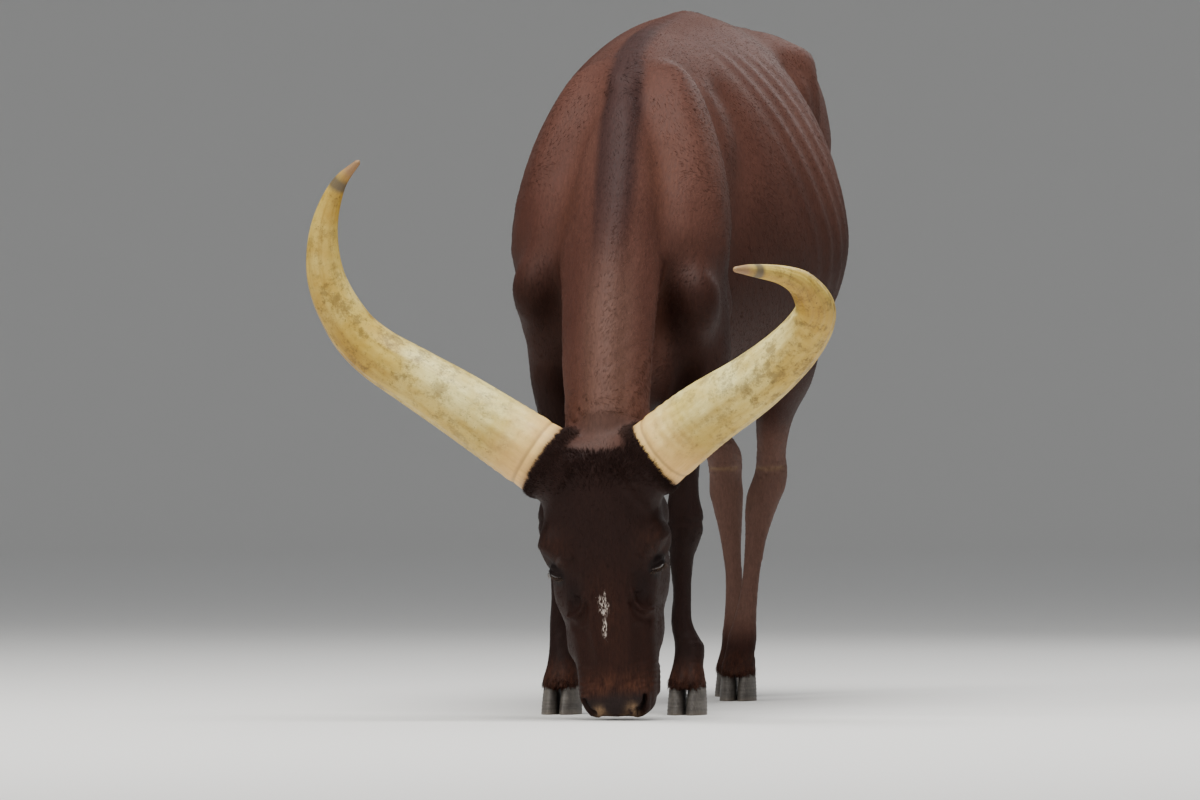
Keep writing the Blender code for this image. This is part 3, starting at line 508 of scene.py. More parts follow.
def trunkShape():
    t = smoothThrough(np.array([trunk[k] for k in ("along", "spine", "belly", "wide", "widest")]).T, 70)
    along, spine, belly, wide, widest = t.T
    centre = np.stack([np.zeros(len(t)), along, widest], 1)
    return closedGrid(ovalGrid(centre, steady((1, 0, 0), len(t)), steady((0, 0, 1), len(t)), wide,
                               spine - widest, widest - belly, trunk["power"], trunk["pinch"], 56))


def neckShape():
    keys = ("crestAlong", "crestHigh", "throatAlong", "throatHigh", "wide", "side")
    crestAlong, crestHigh, throatAlong, throatHigh, wide, side = smoothThrough(
        np.array([neck[k] for k in keys]).T, 50).T
    crest = np.stack([side, crestAlong, crestHigh], 1)
    throat = np.stack([side, throatAlong, throatHigh], 1)
    centre = throat + (crest - throat) * 0.48
    tall = np.linalg.norm(crest - throat, axis=1)
    return closedGrid(ovalGrid(centre, steady((1, 0, 0), len(side)), unit(crest - throat), wide,
                               tall * 0.52, tall * 0.48, 2.0, 0.22, 44))


def headShape():
    t = smoothThrough(np.array([head[k] for k in ("down", "wide", "face", "jaw")]).T, 60)
    middle = t[:, 2] * 0.62 + t[:, 3] * 0.38
    centre = np.array(head["top"]) + headDown * t[:, :1] + headFront * middle[:, None]
    return closedGrid(ovalGrid(centre, steady(headLeft, len(t)), steady(headFront, len(t)), t[:, 1],
                               t[:, 2] - middle, middle - t[:, 3], 2.5, 0.0, 44))


def legShape(leg, sideways):
    rows = np.array([leg["high"], sideways, leg["along"], leg["wide"], leg["deep"]]).T
    high, side, along, wide, deep = smoothThrough(rows, 60).T
    centre = np.stack([side, along, high], 1)
    return closedGrid(ovalGrid(centre, steady((1, 0, 0), 60), steady((0, 1, 0), 60), wide, deep, deep, 2.1,
                               0.0, 30))


tail = dict(
    path=((0.000, 1.385, 1.270), (0.000, 1.436, 1.285), (0.001, 1.472, 1.245), (0.004, 1.492, 1.150),
          (0.010, 1.500, 0.980), (0.019, 1.500, 0.800), (0.027, 1.496, 0.640), (0.030, 1.494, 0.575)),
    radius=(0.020, 0.023, 0.024, 0.0205, 0.0165, 0.0135, 0.0115, 0.0105), root=(0.0, 1.425, 1.28),
    blend=0.055, switchPath=((0.030, 1.4935, 0.5850), (0.031, 1.492, 0.545), (0.031, 1.490, 0.500),
                             (0.030, 1.488, 0.460), (0.029, 1.487, 0.430)),
    switchRadius=(0.010, 0.015, 0.017, 0.014, 0.005), switchEnd=0.418)


def earShape(s, rows=44, around=44):
    # Leaf: oval sections along a line, wide as a sine swelling, cupped by the square of the place across
    (side, down, depth), (tipSide, tipDown, tipDepth) = ears["root"], ears["tip"]
    root = headPlace(side * s, down, depth)
    tip = headPlace(tipSide * s, tipDown, tipDepth - ears["length"])
    ahead = unit(tip - root)
    flat = unit(headDown - ahead * (headDown @ ahead))
    out = np.cross(ahead, flat)
    out = out if out[0] * s > 0 else -out
    t = np.linspace(0, 1, rows)[:, None]
    swell = np.sin(np.pi * np.minimum(1, 0.16 + 0.84 * t) ** 0.8) ** 0.7
    wide = ears["halfWidth"] * np.maximum(swell, 0.04)
    thick = ears["thick"] * (1.2 - 0.8 * t) * (0.25 + 0.75 * smoothStep(0, 0.12, 1 - t))
    a = np.linspace(0, 2 * np.pi, around, endpoint=False)[None]
    x = wide * np.sin(a)
    edge = 1 - 0.55 * np.abs(np.sin(a)) ** 6
    veins = 0.0009 * np.sin(x / ears["halfWidth"] * 9) * (np.cos(a) < 0)
    z = thick * np.cos(a) * edge + ears["cup"] * x * x / ears["halfWidth"] + 0.014 * np.sin(np.pi * t) + veins
    line = root + ahead * (np.linalg.norm(tip - root) * t)
    return closedGrid(line[:, None] + flat * x[..., None] + out * z[..., None])


def tubeShape(path, size, around=36):
    # Circle carried along a path, square to it, closed at both ends
    ahead = unit(np.gradient(path, axis=0))
    across = unit(np.cross(ahead, (0, 1.0, 0)))
    upward = np.cross(ahead, across)
    a = np.linspace(0, 2 * np.pi, around, endpoint=False)
    ring = across[:, None] * np.cos(a)[None, :, None] + upward[:, None] * np.sin(a)[None, :, None]
    return closedGrid(path[:, None] + ring * size[:, None, None])


# Balls melted into the body: centre, half sizes and side tilt; those of the head sit on both sides of the
# face
bodyBalls = dict(udder=((0.0, 1.010, 0.655), (0.070, 0.110, 0.060), 0),
                 brisket=((0.025, 0.020, 0.660), (0.105, 0.160, 0.125), 8))
faceBalls = dict(brow=((0.076, 0.185, -0.052), (0.043, 0.056, 0.050)),
                 cheek=((0.0615, 0.245, -0.118), (0.042, 0.090, 0.094)),
                 lowCheek=((0.054, 0.330, -0.102), (0.0325, 0.065, 0.066)),
                 temple=((0.080, 0.148, -0.112), (0.033, 0.058, 0.050)))
pollBall = dict(at=(0.0, 0.052, -0.062), size=(0.085, 0.048, 0.050))
hockBall = dict(at=((0.092, 1.128, 0.450), (-0.046, 1.388, 0.450)), size=(0.020, 0.026, 0.046), tilt=-12)
dewClaws = dict(feet=((0.1345, 0.022), (-0.0965, 0.022), (0.058, 1.004), (-0.010, 1.328)), apart=0.016,
                back=0.006, high=0.108, size=(0.0095, 0.011, 0.017), tilt=25)
leftShoulderDrop = 0.026


def bodyMasses():
    # Trunk, neck, head, legs and horn roots as tubes, muscles and bones as balls, all crossing freely
    shapes = [trunkShape(), neckShape(), headShape(), legShape(foreLeg, foreLeg["left"]),
              legShape(foreLeg, foreLeg["right"]), legShape(hindLeft, hindLeft["side"]),
              legShape(hindRight, hindRight["side"])]
    balls = []
    for name, (at, size, side, front, shift) in muscles.items():
        for s in (1, -1):
            drop = leftShoulderDrop if name == "shoulderPoint" and s > 0 else 0.0
            balls.append(ballGrid((at[0] * s + shift, at[1], at[2] - drop), size, side, front * s))
    balls += [ballGrid(at, size, tilt) for at, size, tilt in bodyBalls.values()]
    for s in (1, -1):
        for (side, down, depth), size in faceBalls.values():
            balls.append(ballGrid(headPlace(side * s, down, depth), size))
        core = smoothThrough(horns["left" if s > 0 else "right"]["path"][:3], 40)
        core = core[runOf(core) < hornRoot["reach"]]
        shapes.append(tubeShape(core, np.full(len(core), hornRoot["thick"])))
    balls.append(ballGrid(headPlace(*pollBall["at"]), pollBall["size"]))
    balls += [ballGrid(at, hockBall["size"], hockBall["tilt"]) for at in hockBall["at"]]
    for x, y in dewClaws["feet"]:
        for s in (1, -1):
            at = (x + dewClaws["apart"] * s, y + dewClaws["back"], dewClaws["high"])
            balls.append(ballGrid(at, dewClaws["size"], dewClaws["tilt"]))
    return joinShapes(shapes + [closedGrid(b) for b in balls])


def meltedSkin():
    # The masses melted into one closed skin by a voxel remesh, then read back as triangles
    thing = objectFrom("masses", *bodyMasses())
    melt = thing.modifiers.new("melt", "REMESH")
    melt.mode = "VOXEL"
    melt.voxel_size = skin["grid"]
    return settled([thing])


points, tris = meltedSkin()
print("skin melted", len(tris))


# Skin detail
def headMask(p):
    # 1 on the head, 0 on the neck and beyond, changing across the nape
    side, down, depth = headCoords(p)
    return (smoothStep(-0.075, -0.015, down + (depth + 0.06) * 0.55 * (depth < -0.06))
            * smoothStep(0.20, 0.14, np.abs(side)) * smoothStep(-0.26, -0.215, depth))


def sideForms(s):
    # Bones, muscle edges and hollows of one side of the trunk: place or line, reach or width, height
    blade = [(0.062, 0.150, 1.150), (0.105, 0.090, 1.060), (0.148, 0.020, 0.950), (0.165, -0.020, 0.900)]
    back = [(0.070, 0.210, 1.165), (0.118, 0.235, 1.115), (0.165, 0.225, 1.035), (0.190, 0.180, 0.950),
            (0.200, 0.150, 0.850), (0.195, 0.130, 0.760)]
    front = [(0.050, 0.060, 1.165), (0.088, -0.010, 1.040), (0.128, -0.070, 0.920), (0.152, -0.110, 0.830)]
    behindBlade = np.array(back) + (0.012, 0.060, 0.0)
    beforeBlade = np.array(front) + (-0.030, -0.035, -0.01)
    armTop = [(0.165, -0.02, 0.86), (0.178, 0.06, 0.80), (0.175, 0.13, 0.72)]
    elbow = [(0.200, 0.200, 0.800), (0.190, 0.175, 0.700), (0.165, 0.120, 0.630)]
    breast = [(0.130, -0.115, 0.700), (0.135, -0.060, 0.640), (0.13, 0.0, 0.615)]
    hipToPin = [(0.190, 0.900, 1.235), (0.150, 1.050, 1.225), (0.105, 1.220, 1.235), (0.075, 1.360, 1.240)]
    thighFront = [(0.225, 0.930, 1.100), (0.220, 0.935, 0.980), (0.205, 0.905, 0.860), (0.195, 0.880, 0.760)]
    flankFold = [(0.215, 0.790, 0.760), (0.205, 0.850, 0.690), (0.195, 0.920, 0.690)]
    thighGroove = [(0.200, 1.180, 1.100), (0.205, 1.170, 0.950), (0.190, 1.120, 0.800), (0.165, 1.070, 0.680)]
    bellyVein = [(0.160, 0.440, 0.615), (0.150, 0.600, 0.585), (0.115, 0.760, 0.600)]
    innerThigh = [(0.040, 1.290, 1.150), (0.050, 1.340, 1.000), (0.060, 1.330, 0.860)]
    return (
        (blade, 0.020, 0.0050), (back, 0.034, 0.0060), (behindBlade, 0.036, -0.0105),
        (front, 0.018, 0.0040), (beforeBlade, 0.024, -0.0080),
        ((0.070, 0.150, 1.165), (0.040, 0.060, 0.040), 0.004),  # top of the blade
        # Point of the shoulder
        ((0.160 + 0.014 * s, -0.095, 0.755 - 0.013 * s), (0.055, 0.060, 0.055), 0.0045),
        ((0.120 + 0.014 * s, -0.110, 0.730), (0.035, 0.045, 0.035), -0.0040),
        (armTop, 0.020, 0.0050), (elbow, 0.014, -0.0090), (breast, 0.014, -0.0060),
        ((0.225, 0.850, 1.090), (0.075, 0.080, 0.110), -0.0130),  # hollow of the flank
        ((0.150, 0.800, 1.235), (0.060, 0.090, 0.030), 0.0040),  # loin
        ((0.200, 0.890, 1.225), (0.045, 0.060, 0.040), 0.0050),  # hook bone
        ((0.085, 1.365, 1.235), (0.025, 0.040, 0.030), 0.0060),  # pin bone
        ((0.190, 1.130, 1.060), (0.040, 0.050, 0.050), 0.0080),  # hip joint
        ((0.150, 1.270, 1.150), (0.050, 0.080, 0.070), -0.0150),  # hollows round the hip joint
        ((0.185, 1.020, 1.180), (0.050, 0.070, 0.060), -0.0130),
        (hipToPin, 0.020, 0.0060), (thighFront, 0.022, -0.0100), (flankFold, 0.018, 0.0090),
        (thighGroove, 0.018, -0.0055), (bellyVein, 0.008, 0.0030), (innerThigh, 0.018, -0.0040))


ribs = dict(first=0.33, apart=0.066, height=0.0046, power=1.3, balance=0.42)
spineBones = dict(apart=0.056, height=0.0016, band=0.022, bandHeight=0.006)
neckFolds = dict(apart=0.020, height=0.0011)


def trunkRelief(p):
    # Height to raise the skin by, for bones, muscle edges, ribs and hollows of the trunk
    x, y, z = p.T
    ax = np.abs(x)
    h = (spineBones["bandHeight"] * bell(x, 0, spineBones["band"]) * smoothStep(0.10, 0.30, y)
         * smoothStep(1.40, 1.20, y) * (z > 1.1))
    knobs = np.maximum(np.cos(2 * np.pi * y / spineBones["apart"]), 0) ** 1.5
    h += (spineBones["height"] * knobs * bell(x, 0, 0.014) * smoothStep(0.30, 0.45, y)
          * smoothStep(1.15, 1.0, y) * (z > 1.15))
    # Ribs: the crest of each lies where the place along, less the sweep back and down, is a whole number of
    # spacings
    sweep = 0.30 * (1.25 - z) + 0.16 * (1.25 - z) ** 2
    phase = (y - ribs["first"] - sweep) / ribs["apart"]
    crest = (0.5 + 0.5 * np.cos(2 * np.pi * phase)) ** ribs["power"] - ribs["balance"]
    area = (smoothStep(0.30, 0.44, y - 0.25 * (1.2 - z)) * smoothStep(0.98, 0.84, y)
            * smoothStep(0.66, 0.80, z) * smoothStep(1.262, 1.20, z + ax * 0.12) * smoothStep(0.07, 0.13, ax))
    h += ribs["height"] * crest * area * (0.8 + 0.35 * wobble(p, 0.33, 3))
    for s in (1, -1):
        h = raised(h, p, sideForms(s), s)
    # Neck: crest, the grooves beside it, the row of neck bones, the throat groove, the folds across
    crestLine = np.stack([neck["side"], neck["crestAlong"], neck["crestHigh"]], 1)
    h += ridge(p, crestLine, 0.032, 0.0048, fade=0.05, loose=(1, 0.6, 0.6), flat=5)
    for s in (1, -1):
        h += ridge(p, crestLine + (0.052 * s, 0.010, -0.010), 0.018, -0.0035, fade=0.1)
        bones = [(0.085 + 0.010 * s, 0.000, 0.960), (0.082 + 0.020 * s, -0.110, 0.840),
                 (0.078 + 0.032 * s, -0.210, 0.700), (0.074 + 0.045 * s, -0.310, 0.560)]
        groove = [(0.075 + 0.014 * s, -0.150, 0.780), (0.072 + 0.026 * s, -0.215, 0.660),
                  (0.070 + 0.038 * s, -0.260, 0.550), (0.068 + 0.046 * s, -0.290, 0.470)]
        h = raised(h, p, ((bones, 0.034, 0.0040), (groove, 0.016, -0.0065)), s)
    along = (y * 0.56 - z * 0.83)
    folds = np.sin(2 * np.pi * (along + 0.004 * wobble(p, 0.10, 9)) / neckFolds["apart"])
    onNeck = smoothStep(-0.10, -0.17, y) * smoothStep(0.45, 0.55, z) * smoothStep(0.95, 0.75, z)
    h += neckFolds["height"] * folds * onNeck * np.clip(0.35 + 0.8 * wobble(p, 0.12, 5), 0, 1)
    return h


def legPlace(p, leg, sideways, reach):
    # Whether each point is near the leg, and how far it is to the left of and behind the leg's own line
    x, y, z = p.T
    u = x - np.interp(-z, -np.array(leg["high"]), sideways)
    v = y - np.interp(-z, -np.array(leg["high"]), leg["along"])
    return (np.abs(u) < 0.09) & (np.abs(v) < reach) & (z < 0.66), u, v


hockCreases = ((0.452, -0.0026), (0.463, -0.0012), (0.441, -0.0012))


def legRelief(p):
    # Tendons, joints and hollows of the four legs
    h = np.zeros(len(p))
    z = p[:, 2]
    for side in ("left", "right"):
        near, u, v = legPlace(p, foreLeg, foreLeg[side], 0.13)
        # Tendon
        h += near * -0.0030 * (bell(v, 0.006, 0.006) * smoothStep(0.12, 0.15, z) * smoothStep(0.31, 0.27, z))
        h += near * 0.0035 * bell(z, 0.352, 0.030) * (v < 0)  # knee
        h += near * -0.0022 * bell(z, 0.347, 0.005) * (v < 0.01)
        h += near * -0.0040 * bell(z, 0.410, 0.030) * bell(v, 0.006, 0.012)
        h += near * 0.0040 * bell(z, 0.350, 0.022) * smoothStep(0.018, 0.034, v)
        h += near * -0.0030 * bell(z, 0.088, 0.008) * smoothStep(-0.01, 0.02, v)  # hollow of the pastern
        h += near * -0.0040 * bell(u, 0, 0.004) * smoothStep(0.100, 0.070, z)  # parting above the claws
    for leg in (hindLeft, hindRight):
        near, u, v = legPlace(p, leg, leg["side"], 0.16)
        deep = np.interp(-z, -np.array(leg["high"]), leg["deep"])
        h += (near * -0.0085 * bell(v, deep * 0.45, 0.014) * smoothStep(0.450, 0.50, z)
              * smoothStep(0.66, 0.58, z))
        h += (near * 0.0050 * bell(v, deep * 0.95, 0.012) * smoothStep(0.440, 0.48, z)
              * smoothStep(0.62, 0.56, z))
        # Tendon
        h += near * -0.0030 * bell(v, 0.006, 0.006) * smoothStep(0.12, 0.15, z) * smoothStep(0.33, 0.29, z)
        h += near * 0.0030 * bell(z, 0.405, 0.020) * bell(v, -0.010, 0.025)
        for at, height in hockCreases:
            h += near * height * np.exp(-((z - at - 0.1 * v) / 0.0028) ** 2) * smoothStep(0.0, -0.02, v)
        h += near * -0.0030 * bell(z, 0.088, 0.008) * smoothStep(-0.01, 0.02, v)
        h += near * -0.0040 * bell(u, 0, 0.004) * smoothStep(0.100, 0.070, z)
    return h


# Forms of the face in side, down and depth: a line with its width, or a place with its reach, then the height
dish = (((0.000, 0.150, 0.010), (0.045, 0.070, 0.040), -0.0040),)
faceForms = (
    ([(0.060, 0.060, -0.010), (0.082, 0.110, -0.012), (0.098, 0.160, -0.022), (0.102, 0.195, -0.035)],
     0.014, 0.0050),
    ([(0.050, 0.197, 0.000), (0.070, 0.203, -0.006), (0.088, 0.204, -0.022), (0.100, 0.214, -0.044)],
     0.0095, 0.0050),
    ([(0.058, 0.230, 0.000), (0.055, 0.262, -0.004), (0.047, 0.300, -0.005)], 0.012, -0.0050),
    ([(0.043, 0.262, -0.002), (0.046, 0.285, -0.003), (0.054, 0.302, -0.012), (0.066, 0.307, -0.030),
      (0.078, 0.304, -0.050)], 0.0048, 0.0090),  # facial crest
    ([(0.040, 0.280, -0.002), (0.046, 0.306, -0.004), (0.060, 0.322, -0.014), (0.076, 0.322, -0.040)],
     0.0085, -0.0050),
    ([(0.054, 0.272, -0.010), (0.060, 0.286, -0.020), (0.072, 0.290, -0.040)], 0.0090, -0.0060),
    ([(0.030, 0.250, 0.000), (0.034, 0.310, -0.002), (0.031, 0.350, -0.003), (0.026, 0.400, -0.006)],
     0.0065, 0.0036),
    ([(0.050, 0.325, -0.010), (0.050, 0.365, -0.015), (0.048, 0.405, -0.020)], 0.013, -0.0055),
    ([(0.014, 0.432, -0.004), (0.032, 0.428, -0.008), (0.052, 0.424, -0.020)], 0.009, -0.0028))
cheekForms = (
    ([(0.104, 0.085, -0.070), (0.112, 0.130, -0.075), (0.112, 0.175, -0.090)], 0.024, -0.0015),
    ([(0.088, 0.285, -0.085), (0.080, 0.330, -0.105), (0.073, 0.375, -0.100)], 0.014, -0.0010),
    ((0.074, 0.378, -0.090), (0.030, 0.032, 0.036), 0.0075),
    ([(0.070, 0.120, -0.175), (0.078, 0.200, -0.185), (0.072, 0.270, -0.178), (0.060, 0.330, -0.152),
      (0.055, 0.390, -0.130)], 0.013, 0.0050))
throatForms = (([(0.030, 0.170, -0.205), (0.030, 0.260, -0.200), (0.028, 0.330, -0.168)], 0.018, -0.0090),)
noseForms = (((0.054, 0.446, -0.022), (0.018, 0.020, 0.024), 0.0055),
             ((0.000, 0.480, -0.018), (0.036, 0.014, 0.024), 0.0050))
leftLip = (((0.030, 0.486, -0.035), (0.028, 0.012, 0.030), 0.0060),)
noseSeam = (([(0.000, 0.455, -0.004), (0.000, 0.490, -0.020)], 0.0022, -0.0022),)
mouthLine = (([(0.000, 0.497, -0.058), (0.030, 0.494, -0.060), (0.052, 0.478, -0.068), (0.066, 0.450, -0.080),
               (0.071, 0.418, -0.096), (0.072, 0.398, -0.104)], 0.0038, -0.0062),)
lipForms = (
    ([(0.060, 0.462, -0.056), (0.071, 0.436, -0.068), (0.075, 0.408, -0.084)], 0.011, 0.0045),
    ((0.000, 0.470, -0.098), (0.036, 0.022, 0.020), 0.0060),  # chin
    ((0.072, 0.388, -0.110), (0.014, 0.016, 0.016), -0.0015))
noseFolds = dict(apart=0.0095, height=0.0006)


def headRelief(p):
    # Planes of the face, brow, cheek, nose, lips and chin
    side, down, depth = headCoords(p)
    m = np.stack([np.abs(side), down, depth], 1)
    flank = (0.3, 1, 1)
    nose = noseCoords(side, down, depth)
    h = raised(np.zeros(len(p)), m, dish)
    face = raised(np.zeros(len(p)), m, faceForms, loose=(1, 1, 0.25))
    h += face * smoothStep(-0.085, -0.050, depth)
    h = raised(h, m, cheekForms, loose=flank)
    h = raised(h, m, throatForms)
    h = raised(h, nose, noseForms)
    h = raised(h, np.stack([side, down, depth], 1), leftLip)
    h = raised(h, m, noseSeam, fade=0)
    h = raised(h, m, mouthLine, fade=0.08, loose=(0.5, 1, 1))
    h = raised(h, m, lipForms, loose=flank)
    # Nostrils: a comma cut back into the nose, its tail running out and up
    comma, mouth = nostrilGap(nose)
    onFront = smoothStep(-0.070, -0.040, depth)
    h += -nostril["deep"] * smoothStep(1.25, 0.55, comma / mouth) * onFront
    h += nostril["rim"] * np.exp(-((comma - mouth * 1.55) / 0.0040) ** 2) * onFront
    folds = np.sin(2 * np.pi * (down + 0.003 * wobble(p, 0.05, 4)) / noseFolds["apart"])
    h += (noseFolds["height"] * folds * smoothStep(0.37, 0.42, down) * smoothStep(0.455, 0.43, down)
          * smoothStep(0.02, 0.05, m[:, 0]))
    return h * headMask(p)


def noseCoords(side, down, depth):
    # Side without its sign, counted from the middle of the nose, which is turned to the animal's right
    return np.stack([np.abs(side + nostril["turned"] * smoothStep(0.40, 0.455, down)), down, depth], 1)


def nostrilGap(m):
    # Distance from the nostril's line, little of it for depth, and the half width of the opening there
    loose = np.array([1, 1, 0.25])
    d, t = lineDistance(m * loose, np.array(nostril["line"]) * loose)
    return d, nostril["wide"] * (1 - 0.45 * t)


def eyePlace(s):
    return headPlace(eyes["side"] * s, eyes["down"], eyes["depth"])


def eyeAxes(s):
    # Out of the lids, towards the inner corner, and down, square to each other
    out = unit(headLeft * s * 0.80 + headFront * 0.60 + headDown * 0.05)
    fore = unit(headFront - out * (headFront @ out))
    low = unit(headDown - out * (headDown @ out) - fore * (headDown @ fore))
    return out, fore, low


def lidded(p):
    # The skin near each eye laid on a ball a little larger than the eye, and sunk inside it in the slit of
    # the lids
    q = p.copy()
    for s in (1, -1):
        out, fore, low = eyeAxes(s)
        d = q - eyePlace(s)
        r = np.linalg.norm(d, axis=1)
        way = d / np.maximum(r, 1e-9)[:, None]
        onBall = smoothStep(0.33, 0.74, way @ out) * (r < 0.060)
        across, down = (way @ fore) * eyes["radius"], (way @ low) * eyes["radius"]
        down = down - lids["slant"] * across - lids["drop"]
        opening = lids["open"] * np.sqrt(np.clip(1 - (across / lids["halfLength"]) ** 2, 0, 1))
        slit = smoothStep(1.12, 0.80, np.abs(down + 0.0012) / np.maximum(opening, 1e-5))
        slit = slit * (np.abs(across) < lids["halfLength"])
        lidBall = (eyes["radius"] + lids["thick"]
                   + 0.0012 * np.exp(-((np.abs(down) - opening - 0.0030) / 0.0022) ** 2))
        lidBall = lidBall - 0.0014 * np.exp(-((-down - opening - 0.0080) / 0.0018) ** 2)
        target = np.where(slit > 0, lidBall * (1 - slit) + (eyes["radius"] - lids["sunk"]) * slit, lidBall)
        q = q + way * ((target - r) * onBall)[:, None]
    return q


def collared(p):
    # Near each horn the skin's distance from the horn's axis becomes one smooth curve of the place along it
    q = p.copy()
    for horn in horns.values():
        base, ahead = np.array(horn["path"][0]), unit(np.array(horn["path"][1]) - np.array(horn["path"][0]))
        run = (q - base) @ ahead
        spoke = q - base - run[:, None] * ahead
        d = np.linalg.norm(spoke, axis=1)
        edge = hornRoot["edge"]
        even = hornRoot["collar"] - 0.012 * smoothStep(edge - 0.010, edge + 0.006, run)
        w = (smoothStep(0.079, 0.071, d) * smoothStep(0.028, 0.042, run) * smoothStep(0.046, 0.054, d)
             * (run < 0.12))
        shorter = np.minimum(run, edge + 0.008)
        target = base + shorter[:, None] * ahead + spoke / np.maximum(d, 1e-6)[:, None] * even[:, None]
        q += (target - q) * w[:, None]
    return q


def shapedSkin(points, tris):
    # Ease the melted steps away, put more faces on legs, head, face, eyes and nose, then raise every form
    z = points[:, 2]
    points = eased(points, tris, 8)
    onTrunk = smoothStep(0.50, 0.66, z) * (1 - headMask(points)) * smoothStep(-0.24, -0.13, points[:, 1])
    points = eased(points, tris, skin["blend"], onTrunk, 0.6, -0.6073)
    points = eased(points, tris, skin["headBlend"], headMask(points), 0.55, -0.563)
    legs = (points[:, 2] < 0.50) & (points[:, 1] > -0.20)
    points, tris = finer(points, tris, (headMask(points) > 0.02) | legs)
    small = (headMask(points) > 0.02) | (points[:, 2] < 0.49)
    points = eased(points, tris, 5, small.astype(float) * 0.9)
    side, down, depth = headCoords(points)
    face = (headMask(points) > 0.5) & (depth > -0.125) & (down > 0.02)
    points, tris = finer(points, tris, face)
    points = eased(points, tris, 4, smoothStep(0.2, 0.6, headMask(points)) * 0.9)
    for s in (1, -1):
        points, tris = finer(points, tris, np.linalg.norm(points - eyePlace(s), axis=1) < 0.036)
    side, down, depth = headCoords(points)
    nose = (np.abs(np.abs(side) - 0.046) < 0.028) & (np.abs(down - 0.464) < 0.028) & (depth > -0.045)
    points, tris = finer(points, tris, nose)
    points = eased(points, tris, 2, smoothStep(0.2, 0.6, headMask(points)) * 0.8)
    normal = normalsOf(points, tris)
    points = points - normal * skin["coatDepth"] * (1 - 0.55 * headMask(points))[:, None]
    lift = trunkRelief(points) * (1 - headMask(points)) + legRelief(points)
    points = points + normal * lift[:, None]
    points = points + normalsOf(points, tris) * headRelief(points)[:, None]
    return collared(lidded(points)), tris


def united(points, tris, others):
    # Ears and tail joined on, so that the skin stays one closed surface; the joins are then eased
    things = [objectFrom("part", p, t) for p, t in [(points, tris)] + others]
    for other in things[1:]:
        join = things[0].modifiers.new("join", "BOOLEAN")
        join.operation, join.solver, join.object = "UNION", "MANIFOLD", other
    # Flat places need fewer faces than the face does: merge them until the whole count is reached
    thin = things[0].modifiers.new("thin", "DECIMATE")
    thin.ratio = min(1.0, skin["faces"] / sum(len(t) for p, t in [(points, tris)] + others))
    thin.use_collapse_triangulate = True
    p, t = settled(things)
    near = np.zeros(len(p))
    side, down, depth = ears["root"]
    joins = ([(headPlace(side * s, down, depth), ears["blend"]) for s in (1, -1)]
             + [(tail["root"], tail["blend"])])
    for at, reach in joins:
        near = np.maximum(near, smoothStep(reach, reach * 0.6, np.linalg.norm(p - np.array(at), axis=1)))
    return eased(p, t, 14, near, 0.5, -0.3), t


points, tris = shapedSkin(points, tris)
tailLine = smoothThrough(np.column_stack([tail["path"], tail["radius"]]), 150)
points, tris = united(points, tris, [earShape(1), earShape(-1),
                                     tubeShape(tailLine[:, :3], tailLine[:, 3], 30)])
skinNormals = normalsOf(points, tris)
print("skin shaped", len(tris))


# Markings and painted shade: side, down and depth on the face, x, y and z on the body; reach, then strength
stripe = dict(high=(0.56, 0.75, 0.95, 1.10, 1.18, 1.30),
              halfWidth=(0.012, 0.024, 0.036, 0.036, 0.028, 0.018), dark=0.9)
barePad = (((0.000, 0.470, -0.012), (0.034, 0.024, 0.035), 1.3),
           ((0.044, 0.466, -0.014), (0.018, 0.014, 0.030), 0.9))
tanSpots = (((0.0290, 0.479, -0.012), (0.0090, 0.0110, 0.03), 1.3),
            ((0.014, 0.4925, -0.030), (0.026, 0.006, 0.02), 0.8))
paleFlecks = (((-0.0090, 0.292, 0.0), (0.0080, 0.0135, 0.05), 1.05),
              ((-0.0095, 0.337, 0.0), (0.0046, 0.0125, 0.05), 0.95),
              ((-0.0175, 0.272, 0.0), (0.0034, 0.0050, 0.05), 0.75))
faceRust = (((0.020, 0.438, -0.010), (0.050, 0.024, 0.040), 0.80),
            ((0.088, 0.185, -0.020), (0.026, 0.030, 0.035), 0.42),
            ((0.000, 0.330, 0.000), (0.024, 0.090, 0.030), 0.16))
bodyRust = (((0.088, -0.030, 0.930), (0.030, 0.070, 0.080), 0.8),
            ((-0.050, -0.060, 0.880), (0.030, 0.070, 0.070), 0.8))
# Painted shade in the hollow under each eye
paintedCheekShade = (((0.062, 0.268, -0.015), (0.018, 0.030, 0.040), 0.6),)


def spots(p, forms):
    # Soft spots added up, as strong as each says at its middle
    return sum(lump(p, *form) for form in forms)


